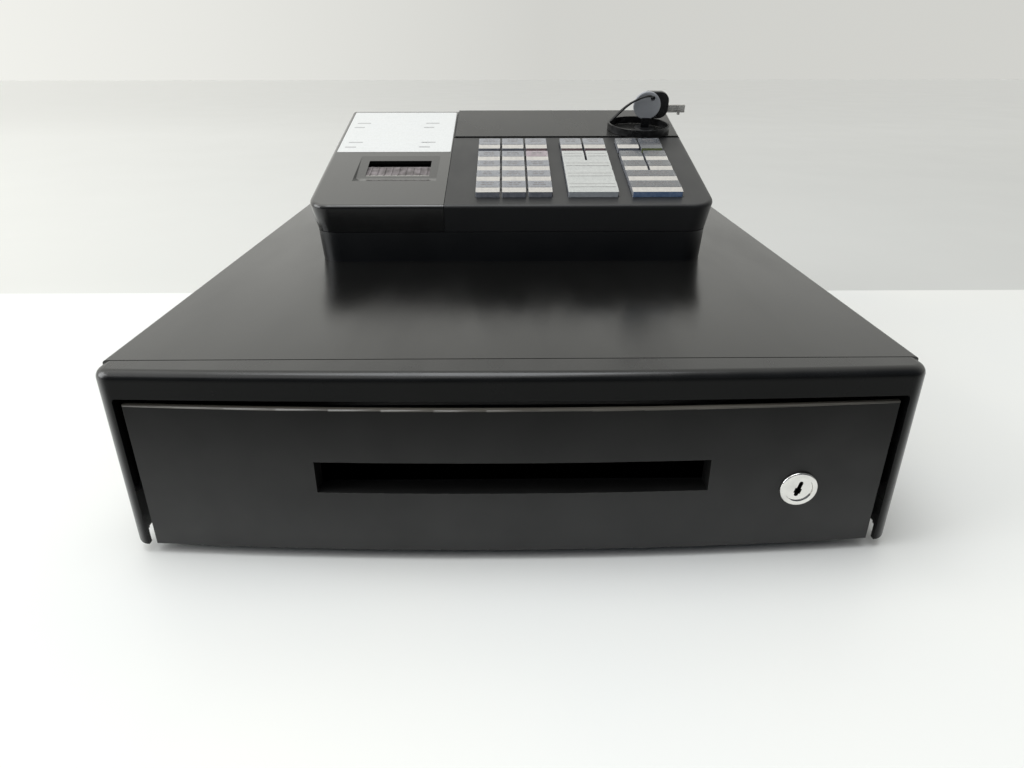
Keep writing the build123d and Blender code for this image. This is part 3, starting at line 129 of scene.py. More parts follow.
def add_words(mesh_tool, dice, left, right, middle, height, place, low, high, material_index=0):
    """Adds one line of word-like dashes between left and right, for small generic print."""
    at = left
    while at < right - height:
        length = min(height * dice.uniform(1.2, 3.4), right - at)
        outline = [
            (at, middle - height / 2),
            (at + length, middle - height / 2),
            (at + length, middle + height / 2),
            (at, middle + height / 2),
        ]
        add_plate(mesh_tool, outline, place, low, high, material_index)
        at += length + height * 0.55


# ---- Materials ---------------------------------------------------------------------------


class Surface:
    """A procedural material whose patterns are laid out in the piece's own metres."""

    def __init__(self, name, metallic=0.0, specular=0.5, coat=0.0, coat_roughness=0.1):
        self.material = bpy.data.materials.new(name)
        self.material.use_nodes = True
        self.tree = self.material.node_tree
        self.shader = self.tree.nodes["Principled BSDF"]
        self.shader.inputs["Metallic"].default_value = metallic
        self.shader.inputs["Specular IOR Level"].default_value = specular
        self.shader.inputs["Coat Weight"].default_value = coat
        self.shader.inputs["Coat Roughness"].default_value = coat_roughness
        self.place = self.tree.nodes.new("ShaderNodeTexCoord").outputs["Object"]

    def feed(self, socket, value):
        """Links an output into a socket, or sets the socket to a plain value."""
        if isinstance(value, bpy.types.NodeSocket):
            self.tree.links.new(value, socket)
        else:
            socket.default_value = value

    def noise(self, scale, detail=3.0, stretch=(1, 1, 1)):
        """Noise from 0 to 1; scale is cells per metre, stretch multiplies it along each axis."""
        mapping = self.tree.nodes.new("ShaderNodeMapping")
        mapping.inputs["Scale"].default_value = stretch
        self.tree.links.new(self.place, mapping.inputs["Vector"])
        texture = self.tree.nodes.new("ShaderNodeTexNoise")
        texture.inputs["Scale"].default_value = scale
        texture.inputs["Detail"].default_value = detail
        self.tree.links.new(mapping.outputs["Vector"], texture.inputs["Vector"])
        return texture.outputs[0]

    def cells(self, scale):
        """Distance to the nearest cell point, for a moulded leather-like grain."""
        texture = self.tree.nodes.new("ShaderNodeTexVoronoi")
        texture.inputs["Scale"].default_value = scale
        self.tree.links.new(self.place, texture.inputs["Vector"])
        return texture.outputs["Distance"]

    def bands(self, scale, direction, distortion=0.0):
        """Straight bands across one axis."""
        texture = self.tree.nodes.new("ShaderNodeTexWave")
        texture.bands_direction = direction
        texture.inputs["Scale"].default_value = scale
        texture.inputs["Distortion"].default_value = distortion
        self.tree.links.new(self.place, texture.inputs["Vector"])
        return texture.outputs["Fac"]

    def spread(self, value, low, high, to_low=0.0, to_high=1.0):
        """Maps a value's span from low to high onto another span."""
        node = self.tree.nodes.new("ShaderNodeMapRange")
        self.feed(node.inputs["Value"], value)
        node.inputs["From Min"].default_value = low
        node.inputs["From Max"].default_value = high
        node.inputs["To Min"].default_value = to_low
        node.inputs["To Max"].default_value = to_high
        return node.outputs["Result"]

    def math(self, operation, first, second):
        """The result of one arithmetic operation."""
        node = self.tree.nodes.new("ShaderNodeMath")
        node.operation = operation
        self.feed(node.inputs[0], first)
        self.feed(node.inputs[1], second)
        return node.outputs[0]

    def mix(self, share, first, second):
        """A colour between two colours."""
        node = self.tree.nodes.new("ShaderNodeMix")
        node.data_type = "RGBA"
        self.feed(node.inputs[0], share)
        for socket, colour in ((node.inputs[6], first), (node.inputs[7], second)):
            self.feed(socket, colour if isinstance(colour, bpy.types.NodeSocket) else (*colour, 1))
        return node.outputs[2]

    def along(self, axis):
        """The place's distance along one axis, in metres."""
        split = self.tree.nodes.new("ShaderNodeSeparateXYZ")
        self.tree.links.new(self.place, split.inputs[0])
        return split.outputs[axis]

    def normal_y(self):
        """The y of the surface's direction: -1 on faces that look to the front."""
        geometry = self.tree.nodes.new("ShaderNodeNewGeometry")
        split = self.tree.nodes.new("ShaderNodeSeparateXYZ")
        self.tree.links.new(geometry.outputs["Normal"], split.inputs[0])
        return split.outputs["Y"]

    def scuffed_and_highlit_edges(self, radius):
        """1 on sharp edges and 0 elsewhere, broken up by noise."""
        bevel = self.tree.nodes.new("ShaderNodeBevel")
        bevel.samples = 4
        bevel.inputs["Radius"].default_value = radius
        geometry = self.tree.nodes.new("ShaderNodeNewGeometry")
        dot = self.tree.nodes.new("ShaderNodeVectorMath")
        dot.operation = "DOT_PRODUCT"
        self.tree.links.new(bevel.outputs["Normal"], dot.inputs[0])
        self.tree.links.new(geometry.outputs["Normal"], dot.inputs[1])
        edge = self.spread(dot.outputs["Value"], 0.97, 0.80)
        return self.math("MULTIPLY", edge, self.spread(self.noise(260), 0.42, 0.66))

    def bump(self, height, depth, strength=1.0, under=None):
        """A surface direction bent by height, on top of the one given as under."""
        node = self.tree.nodes.new("ShaderNodeBump")
        node.inputs["Distance"].default_value = depth
        node.inputs["Strength"].default_value = strength
        self.tree.links.new(height, node.inputs["Height"])
        if under is not None:
            self.tree.links.new(under, node.inputs["Normal"])
        return node.outputs["Normal"]

    def finish(self, colour, roughness, normal=None):
        """Connects the colour, roughness and direction, and returns the material."""
        self.feed(self.shader.inputs["Base Color"], colour)
        self.feed(self.shader.inputs["Roughness"], roughness)
        if normal is not None:
            self.tree.links.new(normal, self.shader.inputs["Normal"])
        return self.material


def shade(colour, factor):
    """A lighter or darker version of a colour."""
    return tuple(min(1.0, channel * factor) for channel in colour)


SQUARE_ON = -0.98                   # y of the direction of a face that looks straight to the front
FILM_RANGE = (-0.9, -0.3)           # the gloss film grows over this turn away from the front
LOW_RANGE = (15 * MM, 88 * MM)      # heights between which the low shine fades out


def moulded(name, colour, roughness, grain=3200, depth=0.00002, wear_and_highlight=1.8, specular=0.5, coat=0.0,
            front_specular=None, front_turn=-0.80, low_specular=None):
    """Moulded plastic: a fine spark-eroded grain, faint clouding, handling marks and lighter worn edges,
    which on the drawer front and the mode key's bow also paint a highlight.

    front_specular is the shine of a face that looks to the front. It reaches specular where the y of
    the face's direction is front_turn. low_specular is the shine close to the table.
    """
    surface = Surface(name, specular=specular, coat=coat)
    shine = surface.shader.inputs["Specular IOR Level"]
    if front_specular is not None:
        facing = surface.normal_y()
        surface.feed(shine, surface.spread(facing, SQUARE_ON, front_turn, front_specular, specular))
        surface.feed(surface.shader.inputs["Coat Weight"], surface.spread(facing, *FILM_RANGE, 0.0, coat))
    if low_specular is not None:
        surface.feed(shine, surface.spread(surface.along("Z"), *LOW_RANGE, low_specular, specular))
    clouds = surface.spread(surface.noise(18, 4), 0.3, 0.7)
    tone = surface.mix(clouds, shade(colour, 0.86), shade(colour, 1.14))
    # Lighter worn edges: edge wear, and on some mouldings also a painted highlight along the edges.
    tone = surface.mix(surface.scuffed_and_highlit_edges(0.5 * MM), tone, shade(colour, wear_and_highlight))
    smears = surface.noise(40, 5, (1, 0.35, 1))
    dull = surface.spread(smears, 0.3, 0.7, roughness - 0.05, roughness + 0.06)
    grain_normal = surface.bump(surface.noise(grain, 2), depth, 0.55)
    return surface.finish(tone, dull, grain_normal)


def powder_coated(name, colour, roughness, texture=1500, depth=0.00003, specular=0.5):
    """Painted sheet steel: a close orange-peel skin, faint rubs and lighter worn edges."""
    surface = Surface(name, specular=specular)
    clouds = surface.spread(surface.noise(9, 5), 0.3, 0.7)
    tone = surface.mix(clouds, shade(colour, 0.85), shade(colour, 1.15))
    specks = surface.spread(surface.noise(900, 1), 0.74, 0.8)
    tone = surface.mix(specks, tone, shade(colour, 2.4))
    tone = surface.mix(surface.scuffed_and_highlit_edges(0.6 * MM), tone, shade(colour, 3.0))
    rubs = surface.noise(26, 6, (1, 0.25, 1))
    dull = surface.spread(rubs, 0.3, 0.72, roughness - 0.04, roughness + 0.07)
    peel = surface.bump(surface.noise(texture, 2), depth, 0.6)
    return surface.finish(tone, dull, surface.bump(surface.noise(60, 1), 0.00005, 0.25, peel))


def bare_metal(name, colour, roughness, brush=(1, 1, 1), brush_scale=900, tarnish=0.25):
    """Plated or polished metal with fine scratches and a little tarnish."""
    surface = Surface(name, metallic=1.0)
    dark = tuple(channel * (1 - tarnish) for channel in colour)
    tone = surface.mix(surface.spread(surface.noise(120, 4), 0.35, 0.7), colour, dark)
    scratches = surface.noise(brush_scale, 3, brush)
    dull = surface.spread(scratches, 0.25, 0.75, roughness * 0.7, roughness * 1.5)
    return surface.finish(tone, dull, surface.bump(scratches, 0.00002, 0.35))


def rubbery(name, colour, roughness):
    """Dull rubber with a dusty bloom."""
    surface = Surface(name, specular=0.35)
    dust = surface.spread(surface.noise(220, 6), 0.45, 0.8)
    tone = surface.mix(dust, colour, tuple(channel + 0.03 for channel in colour))
    dull = surface.spread(surface.noise(90), 0.3, 0.7, roughness - 0.08, roughness + 0.08)
    return surface.finish(tone, dull, surface.bump(surface.noise(2400, 2), 0.00003, 0.6))


def paper(name, colour, tint):
    """Printed paper behind gloss film: faint fibres and uneven tone."""
    surface = Surface(name, specular=0.45, coat=0.25, coat_roughness=0.2)
    fibres = surface.noise(700, 6, (1, 0.4, 1))
    tone = surface.mix(surface.spread(fibres, 0.3, 0.75), colour, tint)
    dull = surface.spread(surface.noise(50), 0.3, 0.7, 0.32, 0.48)
    return surface.finish(tone, dull, surface.bump(fibres, 0.00001, 0.4))


def clear_cap(name, colour, tint, roughness=0.2):
    """A clear key cap over its label: the label's tone under a glossy skin with soft scuffs."""
    surface = Surface(name, specular=0.5, coat=0.6, coat_roughness=0.12)
    clouds = surface.spread(surface.noise(420, 4, (1, 0.5, 1)), 0.35, 0.7)
    tone = surface.mix(clouds, colour, tint)
    tone = surface.mix(surface.scuffed_and_highlit_edges(0.35 * MM), tone, (0.82, 0.83, 0.84))
    dull = surface.spread(surface.noise(240, 5), 0.3, 0.7, roughness - 0.06, roughness + 0.12)
    return surface.finish(tone, dull, surface.bump(surface.noise(800, 2), 0.00001, 0.35))


def circuit_board(name):
    """Green solder mask over copper tracks, with bright pads."""
    surface = Surface(name, specular=0.5)
    tracks = surface.spread(surface.bands(160, "DIAGONAL", 6.0), 0.47, 0.53)
    tone = surface.mix(tracks, (0.015, 0.09, 0.035), (0.03, 0.17, 0.06))
    pads = surface.spread(surface.cells(260), 0.14, 0.1)
    tone = surface.mix(pads, tone, (0.55, 0.53, 0.48))
    dull = surface.spread(surface.noise(300), 0.3, 0.7, 0.28, 0.45)
    return surface.finish(tone, dull, surface.bump(tracks, 0.00003, 0.6))


def laminated(name):
    """Stacked, varnished steel laminations."""
    surface = Surface(name, metallic=0.4)
    layers = surface.bands(900, "Y", 0.3)
    tone = surface.mix(surface.spread(layers, 0.3, 0.7), (0.07, 0.05, 0.035), (0.22, 0.19, 0.16))
    dull = surface.spread(surface.noise(200), 0.3, 0.7, 0.4, 0.6)
    return surface.finish(tone, dull, surface.bump(layers, 0.0001, 0.7))


def ribbed_paper_guide(name):
    """Dusty brown-grey moulding with the ribs that guide the receipt."""
    surface = Surface(name, specular=0.4)
    blotches = surface.spread(surface.noise(160, 5), 0.35, 0.65)
    tone = surface.mix(blotches, (0.09, 0.078, 0.078), (0.22, 0.195, 0.20))
    ribs = surface.bands(70, "X", 0.6)
    dull = surface.spread(surface.noise(90), 0.3, 0.7, 0.4, 0.6)
    return surface.finish(tone, dull, surface.bump(ribs, 0.0004, 0.6))


def smoked(name, colour):
    """Polished smoked plastic with a faint wiped haze."""
    surface = Surface(name, specular=0.42, coat=0.05, coat_roughness=0.12)
    haze = surface.noise(30, 6, (1, 0.3, 1))
    tone = surface.mix(surface.spread(haze, 0.3, 0.7), colour, shade(colour, 1.35))
    dull = surface.spread(haze, 0.3, 0.72, 0.2, 0.32)
    return surface.finish(tone, dull, surface.bump(surface.noise(500, 2), 0.000008, 0.3))


black_coat = powder_coated("cabinet_powder_coat", (0.0045, 0.0045, 0.0042), 0.19, specular=0.6)
inner_coat = powder_coated("drawer_powder_coat", (0.016, 0.016, 0.017), 0.38)
bezel_plastic = moulded("bezel_moulding", (0.005, 0.0052, 0.0052), 0.24, wear_and_highlight=5.0, specular=0.6,
                        front_specular=0.12)
# The drawer front's worn edges are 14 times lighter: edge wear and a painted highlight line along its
# edges.
front_plastic = moulded("drawer_front_moulding", (0.005, 0.005, 0.0048), 0.52, 2600, 0.00004, wear_and_highlight=14.0,
                        specular=0.2, low_specular=0.72)
# A painted highlight for the drawer front's upward edges: lighter and shinier than the front itself.
front_edge_highlight = moulded("drawer_front_painted_highlight", (0.10, 0.093, 0.078), 0.34, 2600, 0.00002, wear_and_highlight=1.3,
                     specular=1.0)
head_plastic = moulded("head_base_moulding", (0.0045, 0.005, 0.0058), 0.34, specular=0.4)
housing_plastic = moulded("keyboard_moulding", (0.012, 0.0124, 0.0128), 0.42, 2800, 0.00002, specular=0.66,
                          front_specular=0.2, front_turn=-0.4)
cover_plastic = moulded("printer_cover_moulding", (0.008, 0.008, 0.0077), 0.17, 2800, 0.000015,
                        specular=1.0, coat=0.5, front_specular=0.35, front_turn=-0.4)
till_plastic = moulded("till_moulding", (0.014, 0.014, 0.015), 0.42, grain=1800, depth=0.00005)
frame_plastic = moulded("printer_frame_moulding", (0.055, 0.056, 0.06), 0.4, grain=2200, depth=0.00003)
clip_plastic = moulded("bill_clip_moulding", (0.03, 0.03, 0.032), 0.35)
rotor_plastic = moulded("mode_rotor_moulding", (0.012, 0.012, 0.013), 0.3)
# The bow's lighter worn edges are wear and a painted highlight on its rim.
bow_plastic = moulded("mode_key_moulding", (0.30, 0.31, 0.33), 0.32, wear_and_highlight=1.5)
key_head = moulded("drawer_key_head_moulding", (0.008, 0.008, 0.009), 0.24, coat=0.2)
nylon = moulded("roller_nylon_natural", (0.70, 0.69, 0.64), 0.38, wear_and_highlight=0.8)
chrome = bare_metal("lock_chrome_plate", (0.86, 0.85, 0.82), 0.11, tarnish=0.2)
zinc = bare_metal("zinc_plated_steel", (0.62, 0.62, 0.60), 0.32, (1, 1, 0.12))
blade_steel = bare_metal("key_blade_steel", (0.66, 0.65, 0.63), 0.24, (0.12, 1, 1), 1400)
foot_rubber = rubbery("foot_rubber_black", (0.02, 0.02, 0.02), 0.75)
platen_rubber = rubbery("platen_rubber_black", (0.03, 0.03, 0.03), 0.6)
strap_rubber = rubbery("strap_black_band", (0.006, 0.006, 0.006), 0.30)
board_green = circuit_board("circuit_board_green")
lamination = laminated("transformer_laminations")
guide_plastic = ribbed_paper_guide("printer_guide_moulding")
smoked_plastic = smoked("smoked_display_panel", (0.014, 0.0138, 0.013))
label_paper = paper("cover_label_paper", (0.72, 0.73, 0.72), (0.66, 0.67, 0.66))
rating_paper = paper("rating_label_paper", (0.55, 0.56, 0.55), (0.48, 0.49, 0.48))
print_grey = paper("label_print_grey", (0.36, 0.36, 0.36), (0.44, 0.44, 0.44))
print_pale = paper("label_print_pale", (0.68, 0.69, 0.69), (0.75, 0.76, 0.76))
# Dark print, which on the keys also paints the shadow line along a printed legend's front edge.
dark_print_and_shadow_line = paper("key_print_and_painted_shadow_line", (0.10, 0.09, 0.09), (0.2, 0.19, 0.19))
cap_grey = clear_cap("key_cap_over_grey_label", (0.18, 0.19, 0.215), (0.235, 0.24, 0.255))
cap_slate = clear_cap("key_cap_over_slate_label", (0.078, 0.084, 0.096), (0.105, 0.108, 0.115))
# The cream on the keys' sloped noses is a painted highlight.
cap_nose_highlight = clear_cap("key_cap_nose_painted_highlight", (0.54, 0.515, 0.47), (0.46, 0.44, 0.415))
cap_white = clear_cap("key_cap_over_white_label", (0.49, 0.50, 0.48), (0.43, 0.44, 0.425))
cap_rose = clear_cap("key_cap_over_rose_label", (0.27, 0.21, 0.24), (0.34, 0.28, 0.30))
cap_front = clear_cap("key_cap_blue_grey_front", (0.20, 0.215, 0.25), (0.28, 0.29, 0.33))
cap_pale_front = clear_cap("key_cap_pale_front", (0.50, 0.53, 0.56), (0.44, 0.47, 0.50))
cap_side = clear_cap("key_cap_side", (0.22, 0.23, 0.26), (0.30, 0.31, 0.34))
cap_pink = clear_cap("key_cap_pink_front", (0.36, 0.24, 0.25), (0.42, 0.31, 0.31))
cap_green = clear_cap("key_cap_green_front", (0.22, 0.27, 0.10), (0.28, 0.32, 0.15))
cap_blue = clear_cap("key_cap_blue_front", (0.13, 0.21, 0.38), (0.22, 0.30, 0.46))

node_materials = {
    "cabinet_cover": black_coat,
    "cabinet_base": black_coat,
    "front_bezel": bezel_plastic,
    "rubber_feet": foot_rubber,
    "drawer_box": inner_coat,
    "drawer_rollers": nylon,
    "drawer_lock_housing": chrome,
    "drawer_lock_plug": chrome,
    "till_tray": till_plastic,
    "coin_tray": till_plastic,
    "latch_solenoid": zinc,
    "latch_hook": zinc,
    "head_base": head_plastic,
    "printer_cover": cover_plastic,
    "keyboard_housing": housing_plastic,
    "display_window": smoked_plastic,
    "mode_rotor": rotor_plastic,
    "key_ring": strap_rubber,
    "printer_frame": frame_plastic,
    "platen_roller": platen_rubber,
    "main_board": board_green,
    "transformer": lamination,
    "case_screws": zinc,
}
for count in range(1, 5):
    node_materials[f"bill_clip_{count}"] = clip_plastic


def dress(node, *materials):
    """Gives a CAD node its materials; its faces use the first one."""
    mesh = nodes[node].data
    mesh.materials.clear()
    for material in materials:
        mesh.materials.append(material)
    for face in mesh.polygons:
        face.material_index = 0


for node, material in node_materials.items():
    dress(node, material)

# The upward edges of the drawer's front get a lighter, shinier moulding: a painted highlight where they
# catch the light.
dress("drawer_front", front_plastic, front_edge_highlight)
front_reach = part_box("drawer_front")[0].y + 12 * MM
front_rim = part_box("drawer_front")[1].z - 2.5 * MM
TILTED_UP = 0.2                     # z of the directions of faces that tilt up, and that lie flat
FLAT_UP = 0.97
for face in nodes["drawer_front"].data.polygons:
    edge = face.center.z > front_rim or face.normal.z < FLAT_UP
    if face.center.y < front_reach and face.normal.z > TILTED_UP and edge:
        face.material_index = 1

# The drawer key's blade is the steel part that reaches past its moulded head.
HEAD_REACH = 21.6 * MM
dress("drawer_key", key_head, blade_steel)
key_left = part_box("drawer_key")[0].x
for face in nodes["drawer_key"].data.polygons:
    if face.center.x > key_left + HEAD_REACH:
        face.material_index = 1

# The mode key's neck is black below its pale bow.
NECK = 9.0 * MM
dress("mode_key", bow_plastic, key_head)
for face in nodes["mode_key"].data.polygons:
    if (face.center - deck_origin).dot(OFF_DECK) < NECK:
        face.material_index = 1

# ---- Keys --------------------------------------------------------------------------------

BODY_OF_KEYS = sorted(name for name in nodes if "_key_" in name and not name.startswith("mode"))
LEGEND_THICKNESS = 0.08 * MM
PRINT_THICKNESS = 0.02 * MM
FLANGE = 0.9 * MM
NOSE = 7.0 * MM
DARK_LINE_WIDTH = 0.6 * MM
PRINT_AND_SHADOW_LINES = {True: (0.0, 0.5), False: (0.0,)}    # lines on blank and printed legends, as depth shares; on printed legends the line at 0.0, along the front edge above the sloped nose, is a painted shadow line, on blank legends both lines are printed row lines
dice = random.Random(41)


def cap_materials(name):
    """The colours of a key: its label area, its sloped front band, on most keys a cream painted highlight,
    and its front face.
    """
    group, row, column = name[: name.rindex("_")], int(name.split("_")[2][0]), name.split("_")[2][1:]
    if group == "department_key":
        if row < 5:
            return cap_white, cap_white, cap_pale_front
        return cap_grey, cap_nose_highlight, cap_pink
    if group == "number_key":
        if (row, column) == (4, "3"):
            return cap_rose, cap_nose_highlight, cap_front
        return cap_grey, cap_nose_highlight, cap_pink if (row, column) == (5, "3") else cap_front
    if row == 1:
        return cap_slate, cap_nose_highlight, cap_blue
    if row == 5 and column == "2":
        return cap_slate, cap_slate, cap_green
    return cap_slate, cap_nose_highlight, cap_pink if row == 3 else cap_front


for name in BODY_OF_KEYS:
    label, band, nose = cap_materials(name)
    dress(name, cap_side, label, band, nose)
    (x_low, x_high), (s_low, s_high), (n_low, n_high) = deck_extent(name)
    for face in nodes[name].data.polygons:
        lift, climb = face.normal.dot(OFF_DECK), face.normal.dot(UP_SLOPE)
        height = (face.center - deck_origin).dot(OFF_DECK)
        # Up-facing faces that tilt to the front take the band: on most keys a painted highlight on the
        # sloped nose.
        if lift > 0.9 and height > 0:
            face.material_index = 2 if climb < -0.05 else 1
        elif climb < -0.9:
            face.material_index = 3
    left, right = x_low + FLANGE + 1.2 * MM, x_high - FLANGE - 1.2 * MM
    low, high = s_low + NOSE + 0.6 * MM, s_high - 1.0 * MM
    legend = bmesh.new()
    outline = rounded_outline(left, right, low, high, 0.8 * MM)
    base = n_high - 0.01 * MM
    add_plate(legend, outline, on_deck, base, base + LEGEND_THICKNESS, 0)
    top = base + LEGEND_THICKNESS
    blank = label is cap_white
    if not blank:
        for line in range(2):
            middle = high - (2.6 + 3.4 * line) * MM
            inset = dice.uniform(2.0, 4.0) * MM
            add_words(legend, dice, left + inset, right - inset, middle, 1.5 * MM, on_deck, top,
                      top + PRINT_THICKNESS, 1)
    # A painted shadow line along the front edge of printed legends; on blank legends these are printed row
    # lines.
    for line_share in PRINT_AND_SHADOW_LINES[blank]:
        at = low + line_share * (high - low)
        dark_line = rounded_outline(left + 0.3 * MM, right - 0.3 * MM, at, at + DARK_LINE_WIDTH, 0.1 * MM, 2)
        add_plate(legend, dark_line, on_deck, top, top + PRINT_THICKNESS, 1)
    mesh_piece(f"legend_{name}", legend, [label, dark_print_and_shadow_line], name)

# ---- Printer cover: its label, the receipt's tear bar and its guide -----------------------

(cover_left, cover_right), _, _ = deck_extent("printer_cover")
LABEL_MARGIN = 3.9 * MM
LABEL_FRONT = 104.0 * MM
LABEL_BACK = 203.7 * MM
LABEL_THICKNESS = 0.12 * MM
label_left, label_right = cover_left + LABEL_MARGIN, cover_right - 0.8 * MM

sheet = bmesh.new()
sheet_outline = rounded_outline(label_left, label_right, LABEL_FRONT, LABEL_BACK, 1.2 * MM)
add_plate(sheet, sheet_outline, on_deck, -0.01 * MM, LABEL_THICKNESS)
mesh_piece("cover_label", sheet, [label_paper], "printer_cover")

label_print = bmesh.new()
PRINT_TOP = LABEL_THICKNESS + PRINT_THICKNESS
MARK_PITCH = 11 * MM
MARK_HALF = 1.1 * MM
for mark_left in (label_left + 6 * MM, label_left + 68 * MM):
    for mark_row in (LABEL_FRONT + 22 * MM, LABEL_FRONT + 70 * MM):
        for line, indent, length in ((0, 0.0, 12 * MM), (1, 1.2 * MM, 8 * MM)):
            middle = mark_row - line * MARK_PITCH
            bar = rounded_outline(mark_left - indent, mark_left + length, middle - MARK_HALF,
                                  middle + MARK_HALF, 0.4 * MM)
            add_plate(label_print, bar, on_deck, LABEL_THICKNESS, PRINT_TOP, 0)
PRINT_LINES = 9
PRINT_PITCH = 9.6 * MM
PRINT_WIDTH = 24 * MM
for left in (label_left + 20 * MM, label_left + 50 * MM):
    for line in range(PRINT_LINES):
        middle = LABEL_FRONT + 12 * MM + line * PRINT_PITCH
        add_words(label_print, dice, left, left + PRINT_WIDTH, middle, 1.3 * MM, on_deck, LABEL_THICKNESS,
                  PRINT_TOP, 1)
mesh_piece("cover_label_print", label_print, [print_grey, print_pale], "printer_cover")

WINDOW_LEFT, WINDOW_RIGHT = -112.5 * MM, -62.5 * MM
WINDOW_FRONT = 59.0 * MM
TEETH = 40
TEAR_LEFT = WINDOW_LEFT + 0.5 * MM
TEAR_RIGHT = WINDOW_RIGHT - 0.5 * MM
TEAR_FRONT = WINDOW_FRONT - 0.6 * MM
TOOTH_ROOT = WINDOW_FRONT + 1.2 * MM
TOOTH_TIP = WINDOW_FRONT + 2.2 * MM
tear_bar = bmesh.new()
pitch = (TEAR_RIGHT - TEAR_LEFT) / TEETH
outline = [(TEAR_RIGHT, TEAR_FRONT), (TEAR_LEFT, TEAR_FRONT)]
for tooth in range(TEETH):
    at = TEAR_LEFT + tooth * pitch
    outline += [(at, TOOTH_ROOT), (at + pitch / 2, TOOTH_TIP)]
outline.append((TEAR_RIGHT, TOOTH_ROOT))
add_plate(tear_bar, outline[::-1], on_deck, -2.8 * MM, -2.5 * MM)
mesh_piece("tear_bar", tear_bar, [zinc], "printer_cover")

GUIDE_BACK = 79.0 * MM
GUIDE_TOP = -3.0 * MM
guide = bmesh.new()
guide_outline = rounded_outline(WINDOW_LEFT + 0.1 * MM, WINDOW_RIGHT - 0.1 * MM, WINDOW_FRONT + 0.1 * MM,
                                GUIDE_BACK - 0.05 * MM, 0.2 * MM, 2)
add_plate(guide, guide_outline, on_deck, GUIDE_TOP - 0.01 * MM, GUIDE_TOP + 0.1 * MM)
RIBS = 9
for rib in range(RIBS):
    middle = WINDOW_LEFT + (rib + 0.5) * (WINDOW_RIGHT - WINDOW_LEFT) / RIBS
    ridge = rounded_outline(middle - 0.5 * MM, middle + 0.5 * MM, WINDOW_FRONT + 2.6 * MM,
                            GUIDE_BACK - 1.0 * MM, 0.4 * MM, 2)
    add_plate(guide, ridge, on_deck, GUIDE_TOP + 0.05 * MM, GUIDE_TOP + 0.6 * MM)
mesh_piece("receipt_guide", guide, [guide_plastic], "printer_cover")

# ---- Rear: inlet bush and rating label ---------------------------------------------------

INLET = Vector((0.070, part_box("head_base")[1].y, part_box("head_base")[0].z + 11 * MM))
bush = bmesh.new()
add_ring(bush, INLET, Vector((0, 1, 0)), [
    (2.9 * MM, -3.4 * MM), (4.3 * MM, -3.4 * MM), (4.3 * MM, 0.0), (6.4 * MM, 0.0),
    (6.2 * MM, 1.0 * MM), (5.4 * MM, 1.5 * MM), (3.6 * MM, 1.5 * MM), (2.9 * MM, 0.8 * MM),
])
mesh_piece("inlet_bush", bush, [foot_rubber], "cabinet")


def behind(x, z, out):
    """A point at x, z on the cabinet's rear wall, out metres behind it."""
    return Vector((-x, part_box("cabinet_base")[1].y + out, z))


RATING_HALF = 30 * MM
RATING_BOTTOM = 42 * MM
RATING_TOP = 78 * MM
RATING_THICKNESS = 0.1 * MM
rating = bmesh.new()
rating_outline = rounded_outline(-RATING_HALF, RATING_HALF, RATING_BOTTOM, RATING_TOP, 2 * MM)
add_plate(rating, rating_outline, behind, -0.01 * MM, RATING_THICKNESS)
for line in range(6):
    right = (20 - 4 * (line % 3)) * MM
    middle = RATING_TOP - (6 + 5 * line) * MM
    add_words(rating, dice, 5 * MM - RATING_HALF, right, middle, 1.6 * MM, behind, RATING_THICKNESS,
              RATING_THICKNESS + PRINT_THICKNESS, 1)
mesh_piece("rating_label", rating, [rating_paper, dark_print_and_shadow_line], "cabinet")

# ---- Stage, lights, camera ---------------------------------------------------------------

WALL_FOOT = 0.248                   # y of the line where a wall would stand
BEARING_START = 0.53                # the floor's bearings spread from this far in front of the centre


def floor_material():
    """White table top. Beyond the wall's foot it has the wall's tones with painted light on them: lighter
    to the left, towards the window light, and far off.
    """
    surface = Surface("stage_white_table", specular=0.35)
    across, away = surface.along("X"), surface.along("Y")
    beyond = surface.spread(away, WALL_FOOT - 1 * MM, WALL_FOOT + 1 * MM)
    clouds = surface.spread(surface.noise(3, 3), 0.3, 0.7)
    table = surface.mix(clouds, (0.84, 0.84, 0.81), (0.80, 0.81, 0.80))
    bearing = surface.math("DIVIDE", across, surface.math("ADD", away, BEARING_START))
    # Painted light on the wall's tones: lighter to the left and further off.
    right = surface.spread(bearing, -0.7, 0.0)
    near_wall_painted_light = surface.mix(right, (0.70, 0.70, 0.67), (0.585, 0.59, 0.575))
    far_wall_painted_light = surface.mix(right, (0.97, 0.97, 0.94), (0.735, 0.74, 0.725))
    wall = surface.mix(surface.spread(away, 0.3, 2.0), near_wall_painted_light, far_wall_painted_light)
    tone = surface.mix(beyond, table, wall)
    return surface.finish(tone, surface.spread(surface.noise(5), 0.3, 0.7, 0.32, 0.42))


floor_mesh = bpy.data.meshes.new("stage_floor")
REACH = 8.0
corners = [(-REACH, -REACH, 0), (REACH, -REACH, 0), (REACH, REACH, 0), (-REACH, REACH, 0)]
floor_mesh.from_pydata(corners, [], [(0, 1, 2, 3)])
floor = bpy.data.objects.new("stage_floor", floor_mesh)
bpy.context.scene.collection.objects.link(floor)
floor_mesh.materials.append(floor_material())


def soft_light(name, place, target, size, power, colour):
    """A square soft box that faces a point."""
    data = bpy.data.lights.new(name, "AREA")
    data.shape = "SQUARE"
    data.size = size
    data.energy = power
    data.color = colour
    lamp = bpy.data.objects.new(name, data)
    bpy.context.scene.collection.objects.link(lamp)
    lamp.location = place
    lamp.rotation_mode = "QUATERNION"
    lamp.rotation_quaternion = (Vector(target) - Vector(place)).to_track_quat("-Z", "Y")


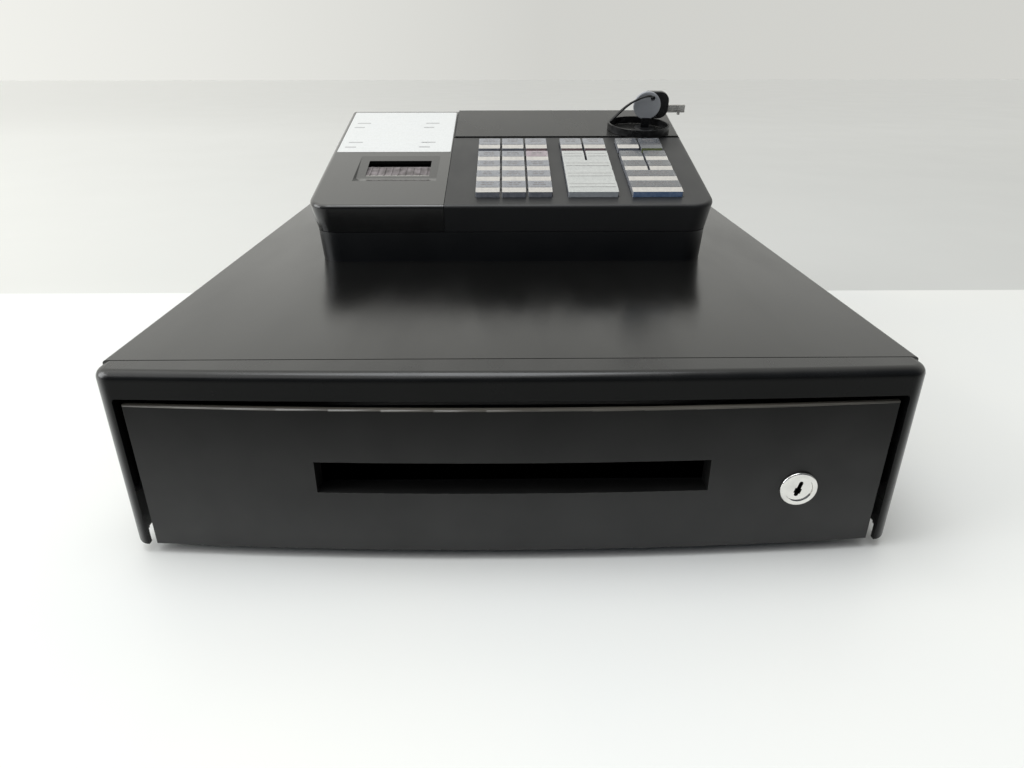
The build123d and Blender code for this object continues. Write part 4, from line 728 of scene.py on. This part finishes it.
soft_light("window_light", (-2.4, -0.5, 1.1), (0, 0, 0.05), 1.6, 36, (0.97, 0.99, 1.0))
soft_light("ceiling_light", (-0.1, -0.2, 1.4), (0, -0.05, 0.1), 0.85, 7.0, (0.93, 0.96, 1.0))
daylight = bpy.data.lights.new("soft_daylight", "SUN")
daylight.energy = 1.0
daylight.angle = math.radians(70)
daylight.color = (1.0, 0.995, 0.97)
sun = bpy.data.objects.new("soft_daylight", daylight)
bpy.context.scene.collection.objects.link(sun)
sun.rotation_euler = (math.radians(12), math.radians(-22), 0)

world = bpy.data.worlds.new("soft_room")
bpy.context.scene.world = world
world.use_nodes = True
room = world.node_tree
direction = room.nodes.new("ShaderNodeTexCoord")
split = room.nodes.new("ShaderNodeSeparateXYZ")
room.links.new(direction.outputs["Generated"], split.inputs[0])


def room_span(value, low, high, to_low=0.0, to_high=1.0):
    """Maps a direction's span from low to high onto another span."""
    node = room.nodes.new("ShaderNodeMapRange")
    room.links.new(value, node.inputs["Value"])
    for socket, number in (("From Min", low), ("From Max", high), ("To Min", to_low), ("To Max", to_high)):
        node.inputs[socket].default_value = number
    return node.outputs["Result"]


tone = room.nodes.new("ShaderNodeMix")
tone.data_type = "RGBA"
tone.inputs[6].default_value = (0.11, 0.12, 0.14, 1)
tone.inputs[7].default_value = (0.92, 0.92, 0.875, 1)
room.links.new(room_span(split.outputs["Y"], -0.45, 0.35), tone.inputs[0])
strength = room.nodes.new("ShaderNodeMath")
strength.operation = "MULTIPLY"
room.links.new(room_span(split.outputs["X"], -0.6, 0.05, 1.14, 0.81), strength.inputs[0])
room.links.new(room_span(split.outputs["Z"], 0.08, 0.22, 0.86, 1.0), strength.inputs[1])
room.links.new(tone.outputs[2], room.nodes["Background"].inputs["Color"])
room.links.new(strength.outputs[0], room.nodes["Background"].inputs["Strength"])

CAMERA_PLACE = Vector((-0.0032, -0.5275, 0.2449))
CAMERA_DOWN = math.radians(24.99)
CAMERA_RIGHT = math.radians(0.52)
CAMERA_ROLL = math.radians(-0.06)
camera_data = bpy.data.cameras.new("main_camera")
camera_data.lens = 24.76
camera_data.sensor_width = 36.0
camera_data.clip_start = 0.01
camera = bpy.data.objects.new("main_camera", camera_data)
bpy.context.scene.collection.objects.link(camera)
turn = Matrix.Rotation(-CAMERA_RIGHT, 4, "Z") @ Matrix.Rotation(math.pi / 2 - CAMERA_DOWN, 4, "X")
camera.matrix_world = Matrix.Translation(CAMERA_PLACE) @ turn @ Matrix.Rotation(CAMERA_ROLL, 4, "Z")
bpy.context.scene.camera = camera
bpy.context.scene.view_settings.view_transform = "Standard"
